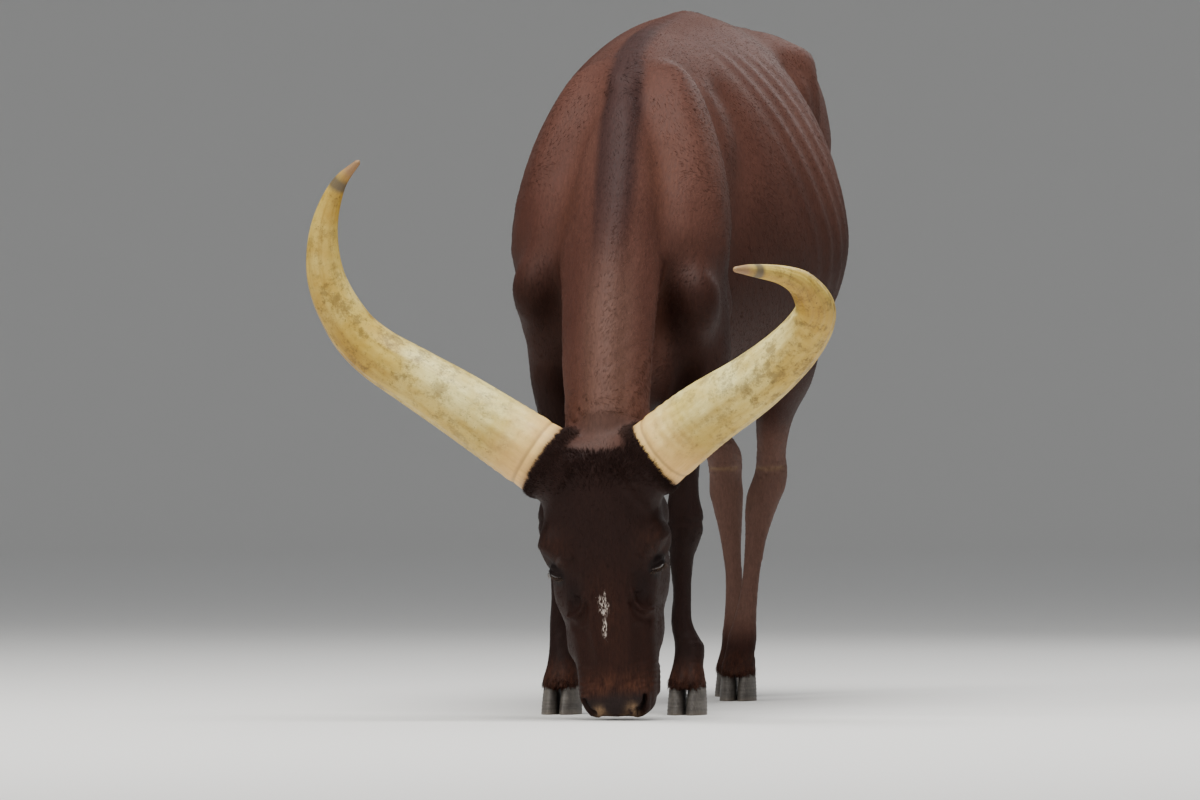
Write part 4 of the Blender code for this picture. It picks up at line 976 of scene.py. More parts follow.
def coatMarks(p):
    # Markings, painted shade and painted highlight, 0 to 1 at any point of the coat; skin and tufts both ask
    # here
    x, y, z = p.T
    side, down, depth = headCoords(p)
    onHead = headMask(p)
    # Warm brown above, dark on the head and the fore legs, darker on the lower sides and the breast
    warm = smoothStep(0.40, 0.66, z + 0.05 * wobble(p, 0.25, 1)) * (1 - onHead)
    warm = warm * smoothStep(0.42, 0.60, z + 0.15 * (y > 0.5))
    warm = np.maximum(warm, 0.95 * smoothStep(0.09, 0.16, z) * (y > 0.45) * smoothStep(0.60, 0.50, z))
    # Lower sides: partly the coat's own darker belly, partly painted shade
    low = (smoothStep(1.06, 0.74, z + 0.05 * wobble(p, 0.4, 8)) * smoothStep(-0.04, 0.05, y)
           * smoothStep(0.45, 0.58, z))
    # Breast and low shoulders either side of the neck: painted shade
    front = (smoothStep(0.90, 0.74, z) * smoothStep(0.10, 0.02, y)
             * smoothStep(0.075, 0.105, np.abs(x - 0.02)) * (z > 0.42))
    warm = warm * (1 - 0.80 * low) * (1 - 0.85 * front)
    nape = smoothStep(0.468, 0.482, z - 2.6 * (x - 0.047) ** 2) * (y < -0.15)
    warm = np.maximum(warm, nape)
    for horn in horns.values():
        toHorn, t = lineDistance(p, horn["path"][:3])
        warm = warm * np.maximum(smoothStep(0.067, 0.075, toHorn), smoothStep(0.34, 0.24, t))
    # Dark stripe down the neck from the withers, fading behind them
    crestX = np.interp(-z, -np.array(neck["crestHigh"]), neck["side"])
    width = np.interp(z, stripe["high"], stripe["halfWidth"])
    line = stripe["dark"] * np.clip(0.5 + 2.4 * (1 - np.abs(x - crestX * (y < 0.1)) / width), 0, 1)
    line = (line * ((y < 1.35) & (z > 0.55)) * smoothStep(0.66, 1.00, z)
            * (1 - 0.75 * smoothStep(0.20, 0.55, y)))
    m = np.stack([np.abs(side), down, depth], 1)
    nose = noseCoords(side, down, depth)
    bare = np.clip(spots(nose, barePad), 0, 1) * onHead * smoothStep(0.430, 0.452, down)
    flecks = spots(np.stack([side, down, depth], 1), paleFlecks) * onHead * (depth > -0.05)
    foot = smoothStep(0.115, 0.075, z) * (y > -0.15)
    rust = spots(m, faceRust) * onHead + spots(p, bodyRust)
    # Painted shade, nearly black: inside the nostrils, round the lids, under the forearm and down the fore
    # legs, on the forehead and under the facial crest
    pit, mouth = nostrilGap(nose)
    paintedShade = smoothStep(1.05, 0.65, pit / mouth) * onHead * (depth > -0.055)
    paintedShade = paintedShade + 0.6 * sum(smoothStep(0.032, 0.022, np.linalg.norm(p - eyePlace(s), axis=1))
                                for s in (1, -1))
    paintedShade = paintedShade + 0.45 * smoothStep(0.66, 0.56, z) * (y > -0.15) * (y < 0.30) * (1 - foot)
    paintedShade = paintedShade + 0.35 * onHead * smoothStep(0.30, 0.17, down) + spots(m, paintedCheekShade)
    # Paler hind shanks, their own colour, and a painted highlight down the front of the neck
    pale = smoothStep(0.10, 0.18, z) * smoothStep(0.56, 0.46, z) * (y > 0.45)
    # Painted highlight down the front of the neck
    throat = np.exp(-((x - crestX - 0.004) / 0.045) ** 4) * (y < 0.0)
    pale = pale + 0.75 * throat * smoothStep(0.90, 0.70, z) * nape
    crease = np.zeros(len(p))
    for leg in (hindLeft, hindRight):
        _, u, v = legPlace(p, leg, leg["side"], 0.1)
        crease += (np.exp(-((z - hockCreases[0][0] - 0.1 * v) / 0.0030) ** 2) * smoothStep(-0.005, -0.020, v)
                   * (np.abs(u) < 0.05) * (v > -0.1))
    marks = dict(warm=warm, tanPatch=spots(nose, tanSpots) * onHead, crest=line, bare=bare, paintedShade=paintedShade,
                 fleck=flecks, rust=rust + 0.40 * foot, crease=crease, pale=pale)
    return {name: np.clip(values, 0, 1) for name, values in marks.items()}


# Finishes
class Finish:
    # A material being put together node by node
    def __init__(self, name):
        self.material = bpy.data.materials.new(name)
        self.material.use_nodes = True
        self.tree = self.material.node_tree
        self.shader = self.tree.nodes["Principled BSDF"]
        self.place = self.tree.nodes.new("ShaderNodeTexCoord").outputs["Object"]

    def feed(self, slot, value):
        # A number or a colour is set on the socket itself, anything else is a wire
        if isinstance(value, tuple):
            slot.default_value = (*value, 1.0)
        elif isinstance(value, (int, float)):
            slot.default_value = value
        else:
            self.tree.links.new(value, slot)

    def noise(self, scale, detail, rough=0.55, vector=None, stretch=None):
        if stretch:
            mapping = self.tree.nodes.new("ShaderNodeMapping")
            mapping.inputs["Scale"].default_value = stretch
            self.feed(mapping.inputs["Vector"], self.place)
            vector = mapping.outputs["Vector"]
        node = self.tree.nodes.new("ShaderNodeTexNoise")
        node.inputs["Scale"].default_value = scale
        node.inputs["Detail"].default_value = detail
        node.inputs["Roughness"].default_value = rough
        self.feed(node.inputs["Vector"], vector or self.place)
        return node.outputs["Fac"]

    def cells(self, scale):
        node = self.tree.nodes.new("ShaderNodeTexVoronoi")
        node.inputs["Scale"].default_value = scale
        self.feed(node.inputs["Vector"], self.place)
        return node.outputs["Distance"]

    def mark(self, name):
        node = self.tree.nodes.new("ShaderNodeAttribute")
        node.attribute_name = name
        return node.outputs["Fac"]

    def sums(self, kind, *values):
        node = self.tree.nodes.new("ShaderNodeMath")
        node.operation = kind
        for slot, value in zip(node.inputs, values):
            self.feed(slot, value)
        return node.outputs[0]

    def times(self, a, b):
        return self.sums("MULTIPLY", a, b)

    def between(self, value, low, high, toLow=0.0, toHigh=1.0):
        node = self.tree.nodes.new("ShaderNodeMapRange")
        for slot, number in zip(("From Min", "From Max", "To Min", "To Max"), (low, high, toLow, toHigh)):
            node.inputs[slot].default_value = number
        self.feed(node.inputs["Value"], value)
        return node.outputs["Result"]

    def mix(self, amount, a, b, kind="MIX"):
        node = self.tree.nodes.new("ShaderNodeMix")
        node.data_type = "RGBA"
        node.blend_type = kind
        for slot, value in zip((node.inputs["Factor"], node.inputs[6], node.inputs[7]), (amount, a, b)):
            self.feed(slot, value)
        return node.outputs[2]

    def bump(self, height, strength, distance, under=None):
        node = self.tree.nodes.new("ShaderNodeBump")
        node.inputs["Strength"].default_value = strength
        node.inputs["Distance"].default_value = distance
        self.feed(node.inputs["Height"], height)
        if under is not None:
            self.feed(node.inputs["Normal"], under)
        return node.outputs["Normal"]

    def done(self, colour, rough, normal=None, **fixed):
        self.feed(self.shader.inputs["Base Color"], colour)
        self.feed(self.shader.inputs["Roughness"], rough)
        if normal is not None:
            self.feed(self.shader.inputs["Normal"], normal)
        for name, value in fixed.items():
            self.shader.inputs[name.replace("_", " ")].default_value = value
        return self.material


# The near-black colour before hairTone is painted shade
hide = dict(brown=(0.058, 0.0225, 0.0160), lightBrown=(0.086, 0.0365, 0.0265), dark=(0.0205, 0.0078, 0.0055),
            crest=(0.031, 0.0150, 0.0138), rust=(0.088, 0.0330, 0.0180), bare=(0.021, 0.0135, 0.0125),
            tan=(0.20, 0.125, 0.070), fleck=(0.52, 0.45, 0.40), paleShankAndNeckHighlight=(0.105, 0.055, 0.042),
            paintedShade=(0.009, 0.006, 0.006), hairTone=1.35, gloss=0.09)


def hideFinish():
    # Colours laid over one another where the marks are, all streaked along and across the body
    f = Finish("brownHide")
    broad = f.noise(3.2, 3, 0.5)
    fine = f.noise(1.0, 5, 0.6, stretch=(240, 70, 60))
    across = f.noise(1.0, 3, 0.6, stretch=(420, 150, 110))
    colour = f.mix(f.between(broad, 0.35, 0.68), hide["brown"], hide["lightBrown"])
    colour = f.mix(f.mark("crest"), colour, hide["crest"])
    colour = f.mix(f.mark("warm"), hide["dark"], colour)
    # Paler hind shanks, and a painted highlight down the front of the neck
    colour = f.mix(f.mark("pale"), colour, hide["paleShankAndNeckHighlight"])
    colour = f.mix(f.times(f.mark("rust"), f.between(fine, 0.3, 0.7)), colour, hide["rust"])
    colour = f.mix(f.mark("bare"), colour, hide["bare"])
    tanSpot = f.times(f.mark("tanPatch"), f.between(f.noise(60, 3), 0.35, 0.55))
    colour = f.mix(f.times(tanSpot, 0.85), colour, hide["tan"])
    colour = f.mix(f.times(f.mark("crease"), 0.7), colour, hide["tan"])
    ragged = f.between(f.noise(1.0, 3, 0.6, stretch=(560, 560, 150)), 0.49, 0.56)
    colour = f.mix(f.times(f.between(f.mark("fleck"), 0.16, 0.42), ragged), colour, hide["fleck"])
    # Painted shade laid over all the colours before it
    colour = f.mix(f.mark("paintedShade"), colour, hide["paintedShade"])
    colour = f.mix(1.0, colour, f.between(f.sums("ADD", fine, across), 0.65, 1.35, 0.76, 1.22), "MULTIPLY")
    colour = f.mix(1.0, colour, f.between(f.mark("hairTone"), 0, 1, 1.0, hide["hairTone"]), "MULTIPLY")
    rough = f.between(f.sums("ADD", fine, f.times(f.mark("bare"), -0.35)), 0.2, 0.8, 0.50, 0.66)
    normal = f.bump(f.noise(26, 4, 0.6), 0.05, 0.003)
    normal = f.bump(fine, 0.45, 0.0016, normal)
    normal = f.bump(across, 0.35, 0.0008, normal)
    normal = f.bump(f.times(f.cells(260), f.mark("bare")), 0.6, 0.0012, normal)  # pores of the bare nose
    return f.done(colour, rough, normal, Specular_IOR_Level=hide["gloss"])


hideSurface = hideFinish()
skinPiece = pieceFrom("skin", points + bodyShift, tris, hideSurface,
                      ("head", "neck", "trunk", "foreleg_left", "foreleg_right", "hindleg_left",
                       "hindleg_right", "ear_left", "ear_right", "tail"))
pointMarks(skinPiece.data, coatMarks(points))
print("skin finished")


# Horns
hornForm = dict(rows=230, around=88, inset=0.0008, ringHeight=0.0006, ringApart=0.021, ringsAt=0.10,
                ringsReach=0.085, groove=0.0014, grooveAt=0.083, grooveWidth=0.0028)
# The under colour darkens the downward side of the horns as painted shade
hornLook = dict(cream=(0.62, 0.48, 0.125), ivory=(0.79, 0.70, 0.300), stain=(0.40, 0.29, 0.070),
                root=(0.80, 0.485, 0.165), shade=(0.165, 0.115, 0.045), tip=(0.22, 0.115, 0.070),
                speck=(0.070, 0.048, 0.022), olive=(0.74, 0.64, 0.33), under=(0.68, 0.55, 0.28),
                upper=(0.80, 0.66, 0.34), ring=(0.070, 0.058, 0.046), groove=(0.26, 0.15, 0.055), gloss=0.34)


def hornFinish():
    # Cream and ivory patches, stained, mottled and specked, tanned at the root, ringed and dark at the tip
    f = Finish("creamHorn")
    t, run = f.mark("alongHorn"), f.mark("hornRun")
    join = f.tree.nodes.new("ShaderNodeCombineXYZ")
    for slot, value in zip(join.inputs, (f.mark("roundX"), f.mark("roundY"), f.times(run, 3.0))):
        f.feed(slot, value)
    lengthwise = join.outputs[0]
    streak = f.noise(3.4, 5, 0.62, vector=lengthwise)
    fineStreak = f.noise(16, 4, 0.7, vector=lengthwise)
    patch = f.noise(12, 5, 0.66)
    blotch = f.noise(32, 8, 0.80)
    mottle = f.noise(70, 5, 0.72)
    speck = f.noise(190, 3, 0.6)
    paintedUnderShade = f.mark("paintedUnderShade")
    mid = f.times(f.between(t, 0.16, 0.40), f.between(t, 0.92, 0.70))

    def laid(under, amount, share, name, kind="MIX"):
        return f.mix(f.times(amount, share), under, hornLook[name], kind)

    colour = f.mix(f.between(patch, 0.36, 0.60), hornLook["cream"], hornLook["ivory"])
    colour = laid(colour, f.between(streak, 0.50, 0.66), 0.45, "stain")
    colour = laid(colour, f.between(blotch, 0.495, 0.585), f.sums("MULTIPLY_ADD", mid, 0.36, 0.26), "shade")
    colour = laid(colour, f.times(f.between(mottle, 0.55, 0.66), f.between(blotch, 0.46, 0.56)), 0.55,
                  "shade")
    colour = laid(colour, f.times(f.between(speck, 0.62, 0.70), f.between(patch, 0.42, 0.58)), 0.70, "speck")
    cloud = f.between(f.noise(4.5, 3, 0.55), 0.44, 0.60)
    colour = laid(colour, cloud, f.sums("MULTIPLY_ADD", mid, 0.6, 0.25), "olive", "MULTIPLY")
    # Painted shade on the downward-facing side
    colour = laid(colour, paintedUnderShade, 0.85, "under", "MULTIPLY")
    # Yellow-brown over the outer half: partly the horn's own colour, partly painted shade
    colour = laid(colour, f.between(t, 0.42, 0.80), 0.85, "upper", "MULTIPLY")
    # Deeper painted shade under the root
    colour = laid(colour, f.times(f.between(run, 0.26, 0.11), paintedUnderShade), 0.75, "under", "MULTIPLY")
    rootBand = f.times(f.between(run, 0.165, 0.085), f.between(fineStreak, 0.2, 0.7, 0.6, 1.0))
    colour = laid(colour, rootBand, 0.85, "root")
    colour = laid(colour, f.times(f.between(run, 0.079, 0.082), f.between(run, 0.089, 0.084)), 0.55, "groove")
    colour = laid(colour, f.between(run, 0.074, 0.060), 0.80, "tip")
    colour = laid(colour, f.times(f.between(t, 0.908, 0.920), f.between(t, 0.950, 0.935)), 0.85, "ring")
    colour = laid(colour, f.between(t, 0.940, 0.965), 0.80, "tip")
    normal = f.bump(fineStreak, 0.30, 0.0012)
    normal = f.bump(mottle, 0.22, 0.0010, normal)
    normal = f.bump(speck, 0.12, 0.0005, normal)
    return f.done(colour, f.between(mottle, 0.3, 0.7, 0.40, 0.60), normal,
                  Specular_IOR_Level=hornLook["gloss"])


def hornPiece(side):
    # Circle carried along the horn's path; its radius swells in growth rings near the root and in slow flutes
    horn, form = horns[side], hornForm
    both = smoothThrough(np.column_stack([horn["path"], horn["radius"]]), form["rows"])
    run = runOf(both[:, :3])
    t = run / run[-1]
    shown = run > hornRoot["start"]
    path, size, run, t = both[shown, :3], both[shown, 3] - form["inset"], run[shown], t[shown]
    ahead = unit(np.gradient(path, axis=0))
    across = unit(np.cross(ahead, (0, 1.0, 0)))
    upward = np.cross(ahead, across)
    a = np.linspace(0, 2 * np.pi, form["around"], endpoint=False)
    far, share = run[:, None], t[:, None]
    turns = far / form["ringApart"] + 0.12 * np.sin(2 * a) + 0.6 * np.sin(far * 40)
    rings = form["ringHeight"] * np.sin(2 * np.pi * turns) * bell(far, form["ringsAt"], form["ringsReach"])
    groove = -form["groove"] * bell(far - 0.002 * np.sin(a + 1), form["grooveAt"], form["grooveWidth"])
    flutes = (0.00045 * np.sin(9 * a + 3 * share) + 0.0007 * np.sin(3 * a + 7 * share)
              + 0.0004 * np.sin(17 * a - 5 * share))
    r = size[:, None] + (rings + groove + flutes) * smoothStep(0.0, 0.3, 1 - share)
    r = r * (1 - 0.985 * smoothStep(0.992, 1.0, share) ** 2)
    grid = (path[:, None] + across[:, None] * (r * np.cos(a))[..., None]
            + upward[:, None] * (r * np.sin(a))[..., None])
    p, faces = closedGrid(grid)
    piece = pieceFrom("horn" + side.capitalize(), p + bodyShift, faces, hornSurface,
                      ("horn_" + side,))
    # Painted shade on the downward side, then length and the place round, as numbers that the streaks follow
    turn = np.concatenate([np.tile(a, len(run)), [0, 0]])
    pointMarks(piece.data, dict(
        paintedUnderShade=smoothStep(0.35, -0.60, normalsOf(p, faces)[:, 2]), roundX=np.cos(turn),
        roundY=np.sin(turn), alongHorn=np.concatenate([np.repeat(t, len(a)), [t[0], t[-1]]]),
        hornRun=np.concatenate([np.repeat(run, len(a)), [run[0], run[-1]]])))


hornSurface = hornFinish()
hornPiece("left")
hornPiece("right")
print("horns finished")


# Eyes
eyeLook = dict(pupil=(0.004, 0.004, 0.006), iris=(0.030, 0.014, 0.007), white=(0.045, 0.028, 0.020),
               streak=(0.060, 0.030, 0.014), bulge=0.0016, irisAngle=0.75)


def eyeFinish():
    f = Finish("darkEye")
    ring = f.mark("fromPupil")
    streaks = f.noise(300, 3, 0.6)
    colour = f.mix(f.between(ring, 0.30, 0.42), eyeLook["pupil"], eyeLook["iris"])
    colour = f.mix(f.between(ring, 0.78, 0.92), colour, eyeLook["white"])
    colour = f.mix(f.times(f.between(streaks, 0.45, 0.7), 0.4), colour, eyeLook["streak"])
    rough = f.between(streaks, 0.0, 1.0, 0.05, 0.09)
    return f.done(colour, rough, Specular_IOR_Level=0.6, Coat_Weight=0.6, Coat_Roughness=0.03)


def eyePiece(side, s):
    # A ball with the clear front pushed out a little where it faces the gaze
    ball, faces = closedGrid(ballGrid(eyePlace(s), (eyes["radius"],) * 3, rows=26, around=36))
    gaze = unit(headLeft * s * 0.80 + headFront * 0.55 + headDown * 0.30)
    facing = unit(ball - eyePlace(s)) @ gaze
    ball = ball + gaze * (eyeLook["bulge"] * smoothStep(0.72, 0.95, facing))[:, None]
    piece = pieceFrom("eye" + side.capitalize(), ball + bodyShift, faces, eyeSurface, ("eye_" + side,))
    pointMarks(piece.data, dict(fromPupil=np.arccos(np.clip(facing, -1, 1)) / eyeLook["irisAngle"]))


eyeSurface = eyeFinish()
eyePiece("left", 1)
eyePiece("right", -1)
print("eyes finished")


# Hooves
hoof = dict(halfWidth=0.0170, sole=0.098, top=0.066, high=0.0600, apart=0.0182, topWidth=0.80,
            ringHeight=0.0004, ringApart=0.0068, squareness=2.3, pinch=0.32, lean=0.012)
hoofLook = dict(dark=(0.060, 0.052, 0.046), light=(0.125, 0.112, 0.098), band=(0.034, 0.029, 0.026),
                scratch=(0.200, 0.180, 0.155), sole=(0.165, 0.135, 0.105), gloss=0.35)
feet = dict(fore_left=(0.1345, -0.026, 0.02), fore_right=(-0.0965, -0.026, -0.02),
            hind_left=(0.057, 0.944, 0.05), hind_right=(-0.010, 1.272,
                                                        -0.05))  # place across, place along, turn


def hoofFinish():
    f = Finish("greyHoof")
    bands = f.noise(1.0, 4, 0.6, stretch=(9, 9, 330))
    broad = f.noise(40, 4, 0.6)
    upright = f.noise(1.0, 4, 0.65, stretch=(420, 420, 26))
    colour = f.mix(f.between(broad, 0.35, 0.65), hoofLook["dark"], hoofLook["light"])
    colour = f.mix(f.times(f.between(bands, 0.45, 0.65), 0.55), colour, hoofLook["band"])
    colour = f.mix(f.times(f.between(upright, 0.52, 0.70), 0.45), colour, hoofLook["scratch"])
    colour = f.mix(f.times(f.between(f.mark("hoofHigh"), 0.010, 0.0), 0.5), colour, hoofLook["sole"])
    normal = f.bump(bands, 0.35, 0.0010)
    normal = f.bump(upright, 0.30, 0.0006, normal)
    return f.done(colour, f.between(upright, 0.3, 0.7, 0.42, 0.62), normal,
                  Specular_IOR_Level=hoofLook["gloss"])


def signedPower(value, power):
    # A sine or cosine with its size raised to a power and its sign kept
    return np.sign(value) * np.abs(value) ** power


def hoofPiece(foot, side, label):
    # Oval rings stacked up the toe: longer at the sole, narrowed to the point, set back as they rise,
    # finely ringed
    x0, y0, turn = feet[foot]
    rows, around = 30, 56
    z = np.concatenate([[0, 0.0], np.linspace(0.0016, hoof["high"], rows - 2)])
    h = (z / hoof["high"])[:, None]
    a = np.linspace(0, 2 * np.pi, around, endpoint=False)[None]
    inset = np.concatenate([[0.80, 0.985], np.ones(rows - 2)])[:, None]
    grow = hoof["ringHeight"] * np.sin(2 * np.pi * z / hoof["ringApart"])[:, None]
    grow = grow * smoothStep(0.0, 0.12, h) * smoothStep(1.0, 0.85, h)
    length = (hoof["sole"] + (hoof["top"] - hoof["sole"]) * h ** 1.25) / 2 * inset + grow
    wide = hoof["halfWidth"] * (1 + (hoof["topWidth"] - 1) * h ** 1.6) * inset + grow
    y = signedPower(np.cos(a), 2 / hoof["squareness"]) * length
    x = signedPower(np.sin(a), 2 / hoof["squareness"]) * wide
    toe = np.maximum(-y, 0) / length.max()
    heel = np.maximum(y, 0) / length.max()
    x = x * (1 - hoof["pinch"] * toe ** 2) - side * 0.004 * toe
    x = side * hoof["apart"] + x * (1 + 0.05 * heel)
    y = y + hoof["lean"] * h - 0.006
    grid = np.stack([x0 + x * math.cos(turn) - y * math.sin(turn),
                     y0 + x * math.sin(turn) + y * math.cos(turn), np.broadcast_to(z[:, None], x.shape)], -1)
    p, faces = closedGrid(grid)
    name = "hoof" + "".join(word.capitalize() for word in foot.split("_")) + label.capitalize()
    piece = pieceFrom(name, p + bodyShift, faces, hoofSurface, ("hoof_" + foot + "_" + label,))
    pointMarks(piece.data, dict(hoofHigh=p[:, 2]))


hoofSurface = hoofFinish()
for foot in feet:
    outward = 1 if "left" in foot else -1
    hoofPiece(foot, outward, "outer")
    hoofPiece(foot, -outward, "inner")
print("hooves finished")


# Short coat: lock sizes, and how many locks each piece has
coat = dict(seed=11, length=0.0110, width=0.0007, lift=0.0003, turn=0.10,
            head=19500, neck=14000, trunk=18000, leg=5600, tail=2500)
rng = np.random.default_rng(coat["seed"])
hanging = np.array([0, 0, -1.0])
bladeRows = ((0.0, 0.6), (0.5, 1.0))
hairRows = ((0.0, 0.8), (0.5, 1.0))
pollRows = ((0.0, 0.8), (0.4, 1.0), (0.75, 0.6))
switchRows = ((0.0, 0.9), (0.3, 1.0), (0.6, 0.9), (0.85, 0.55))
lashRows = ((0.0, 1.0), (0.3, 0.9), (0.65, 0.7))


def tangent(way, normal):
    # The direction with its share along the normal taken out
    return unit(way - normal * np.sum(way * normal, axis=1, keepdims=True))


def onTail(p):
    return (p[:, 1] > 1.455) | ((p[:, 1] > 1.44) & (p[:, 2] < 1.2))


def lieOfCoat(p, n):
    # Which way the hair lies: back along the trunk, up the neck, out from the whorl of the forehead, down
    # the legs
    x, y, z = p.T
    side, down, depth = headCoords(p)
    one = np.ones(len(p))
    body = np.stack([0.25 * np.sign(x), one, -0.15 - 0.8 * smoothStep(0.05, 0.25, np.abs(x))], 1)
    faced = smoothStep(0.35, 0.80, -n[:, 1])[:, None]
    body = body * (1 - faced) + np.stack([0.35 * np.sign(x), 0 * one, -one], 1) * faced
    onNeck = (smoothStep(0.02, -0.10, y) * smoothStep(0.50, 0.60, z))[:, None]
    body = body * (1 - onNeck) + np.stack([0.35 * np.sign(x - 0.03), 0.50 * one, 0.70 * one], 1) * onNeck
    outer = smoothStep(0.62, 0.50, z) + smoothStep(0.08, 0.12, np.abs(x))
    leg = smoothStep(0.80, 0.60, z)[:, None] * outer[:, None].clip(0, 1)
    body = body * (1 - leg) + np.array([0, 0.15, -1.0]) * leg
    whorl = np.stack([side, down - 0.105], 1)
    spread = whorl / np.maximum(np.linalg.norm(whorl, axis=1, keepdims=True), 0.02)
    face = (headLeft * (spread[:, :1] * 0.6 + side[:, None] * 2) + headDown * (spread[:, 1:] + 0.15)
            - headFront * (0.9 * smoothStep(-0.05, -0.12, depth))[:, None])
    on = headMask(p)[:, None]
    way = body * (1 - on) + face * on
    way = np.where(onTail(p)[:, None], hanging, way)
    onEar = (np.abs(side) > 0.06) & (depth < -0.165) & (down < 0.10) & (down > -0.01) & (z > 0.2)
    return tangent(np.where(onEar[:, None], -headFront, way), n)


def scattered(share, count):
    # Places over the skin, picked in proportion to area times share, with the smooth normal there
    a, b, c = points[tris[:, 0]], points[tris[:, 1]], points[tris[:, 2]]
    area = np.linalg.norm(np.cross(b - a, c - a), axis=1) * share[tris].mean(1)
    pick = rng.choice(len(tris), count, p=area / area.sum())
    u = np.sqrt(rng.random(count))[:, None]
    v = rng.random(count)[:, None]
    w = np.hstack([1 - u, u * (1 - v), u * v])
    corner = tris[pick]
    return np.einsum("ij,ijk->ik", w, points[corner]), unit(np.einsum("ij,ijk->ik", w, skinNormals[corner]))


def lockShapes(root, normal, flow, length, width, lift, rows):
    # Each lock is a thin three-sided blade: sections of two low points and one high one, closing in a
    # single tip
    side = np.cross(normal, flow)
    parts = []
    for t, share in rows:
        rise = lift * t ** 1.4 - 0.0006 * (t == 0)
        middle = root + flow * (length * t)[:, None] + normal * rise[:, None]
        half = side * (width * share * 0.5)[:, None]
        parts += [middle - half, middle + half, middle + normal * (width * 0.16 * share + 0.0001)[:, None]]
    parts.append(root + flow * length[:, None] + normal * lift[:, None])
    each, last = 3 * len(rows) + 1, 3 * (len(rows) - 1)
    faces = [(0, 2, 1)]
    for k in range(0, last, 3):
        for i, j in ((0, 1), (1, 2), (2, 0)):
            faces += [(k + i, k + j, k + 3 + j), (k + i, k + 3 + j, k + 3 + i)]
    faces += [(last + i, last + (i + 1) % 3, each - 1) for i in range(3)]
    t = (np.array(faces)[None] + np.arange(len(root))[:, None, None] * each).reshape(-1, 3)
    patch = (np.array([(x, k) for k in np.linspace(-1, 0.6, len(rows)) for x in (-1, 1, 0)] + [(0, 1)])
             * 0.0015)
    return outwardFaces(np.stack(parts, 1).reshape(-1, 3), t) + (each, patch)


def roundMap(p, axis, centre, first):
    # The skin's own shape rolled out round an axis: angle across, distance along
    axis, first = unit(np.array(axis, float)), np.array(first, float)
    first = unit(first - axis * (first @ axis))
    second = np.cross(axis, first)
    q = p - np.array(centre)
    along = q @ axis
    u = np.arctan2(q @ second, q @ first) / (2 * np.pi) + 0.5
    v = (along - along.min()) / max(np.ptp(along), 1e-6)
    return np.stack([u, v], 1) * 0.98 + 0.01


def coatPiece(name, root, made, place, warmth=1.0):
    # A piece of coat: its locks, the markings at each root, and a small patch each on the map of the skin
    p, faces, each, patch = made
    tone = rng.uniform(0, 1, len(root))
    piece = pieceFrom(name, p + bodyShift, faces, hideSurface)
    marks = {k: np.repeat(v, each) for k, v in coatMarks(root).items()}
    marks["hairTone"] = np.repeat(tone, each)
    marks["warm"] = marks["warm"] * warmth
    pointMarks(piece.data, marks)
    bakeMap(piece.data, np.repeat(place, each, 0) + np.tile(patch, (len(root), 1)))


def regionShares(p):
    # Which points belong to each piece of coat; bare nose, eyes, horns and nostrils belong to none
    x, y, z = p.T
    onHead = headMask(p)
    side, down, depth = headCoords(p)
    clear = 1.0 - np.clip(skinMarks["bare"] * 1.6, 0, 1)
    for s in (1, -1):
        clear = clear * smoothStep(0.0185, 0.0215, np.linalg.norm(p - eyePlace(s), axis=1))
        d, t = lineDistance(p, horns["left" if s > 0 else "right"]["path"][:3])
        clear = clear * ~((d < 0.0625) & (t > 0.20))
    pit, mouth = nostrilGap(noseCoords(side, down, depth))
    clear = clear * smoothStep(1.0, 1.4, pit / mouth + (depth < -0.06))
    rest = 1 - onHead > 0.5
    ahead = (y < 0.03) & (z > 0.44) & ((z - 0.62) < 1.1 * (0.10 - y)) & (y < -0.06 + 0.6 * (z - 0.62))
    onNeck = rest & ahead & (np.abs(x - 0.02) < 0.14)
    leg = rest & (z < 0.56) & ~onTail(p) & ~onNeck
    hindOne = (y < 1.15) | ((x > 0.05) & (y < 1.20))
    trunkOnly = rest & (z >= 0.56) & ~onNeck & ~onTail(p)
    cut = dict(Head=onHead > 0.5, Neck=onNeck, Shoulders=trunkOnly & (y >= -0.5) & (y < 0.33),
               Rump=trunkOnly & (y >= 0.80), Ribs=trunkOnly & (y >= 0.33) & (y < 0.80),
               ForeLeft=leg & (y < 0.45) & (x > 0.015), ForeRight=leg & (y < 0.45) & (x <= 0.015),
               HindLeft=leg & (y >= 0.45) & hindOne, HindRight=leg & (y >= 0.45) & ~hindOne, Tail=onTail(p))
    return {k: v * clear for k, v in cut.items()}


def shortCoat(region, count, size, axis, centre, first):
    # Locks over one region, turned a little at random, smaller on the nose and low on the legs
    root, normal = scattered(shares[region], count)
    flow = lieOfCoat(root, normal)
    flow = unit(flow + np.cross(normal, flow) * rng.normal(0, coat["turn"], count)[:, None])
    onFace = headMask(root)
    fit = (size * (1 - 0.45 * onFace * smoothStep(0.30, 0.44, headCoords(root)[1]))
           * (1 - 0.35 * smoothStep(0.30, 0.08, root[:, 2]) * (1 - onFace)))
    length = coat["length"] * (rng.uniform(0.7, 1.3, count) * fit)
    width = coat["width"] * rng.uniform(0.7, 1.3, count) * np.sqrt(fit)
    lift = coat["lift"] * rng.uniform(0.5, 1.5, count) * fit
    made = lockShapes(root, normal, flow, length, width, lift, bladeRows)
    coatPiece("coat" + region, root, made, roundMap(root, axis, centre, first))


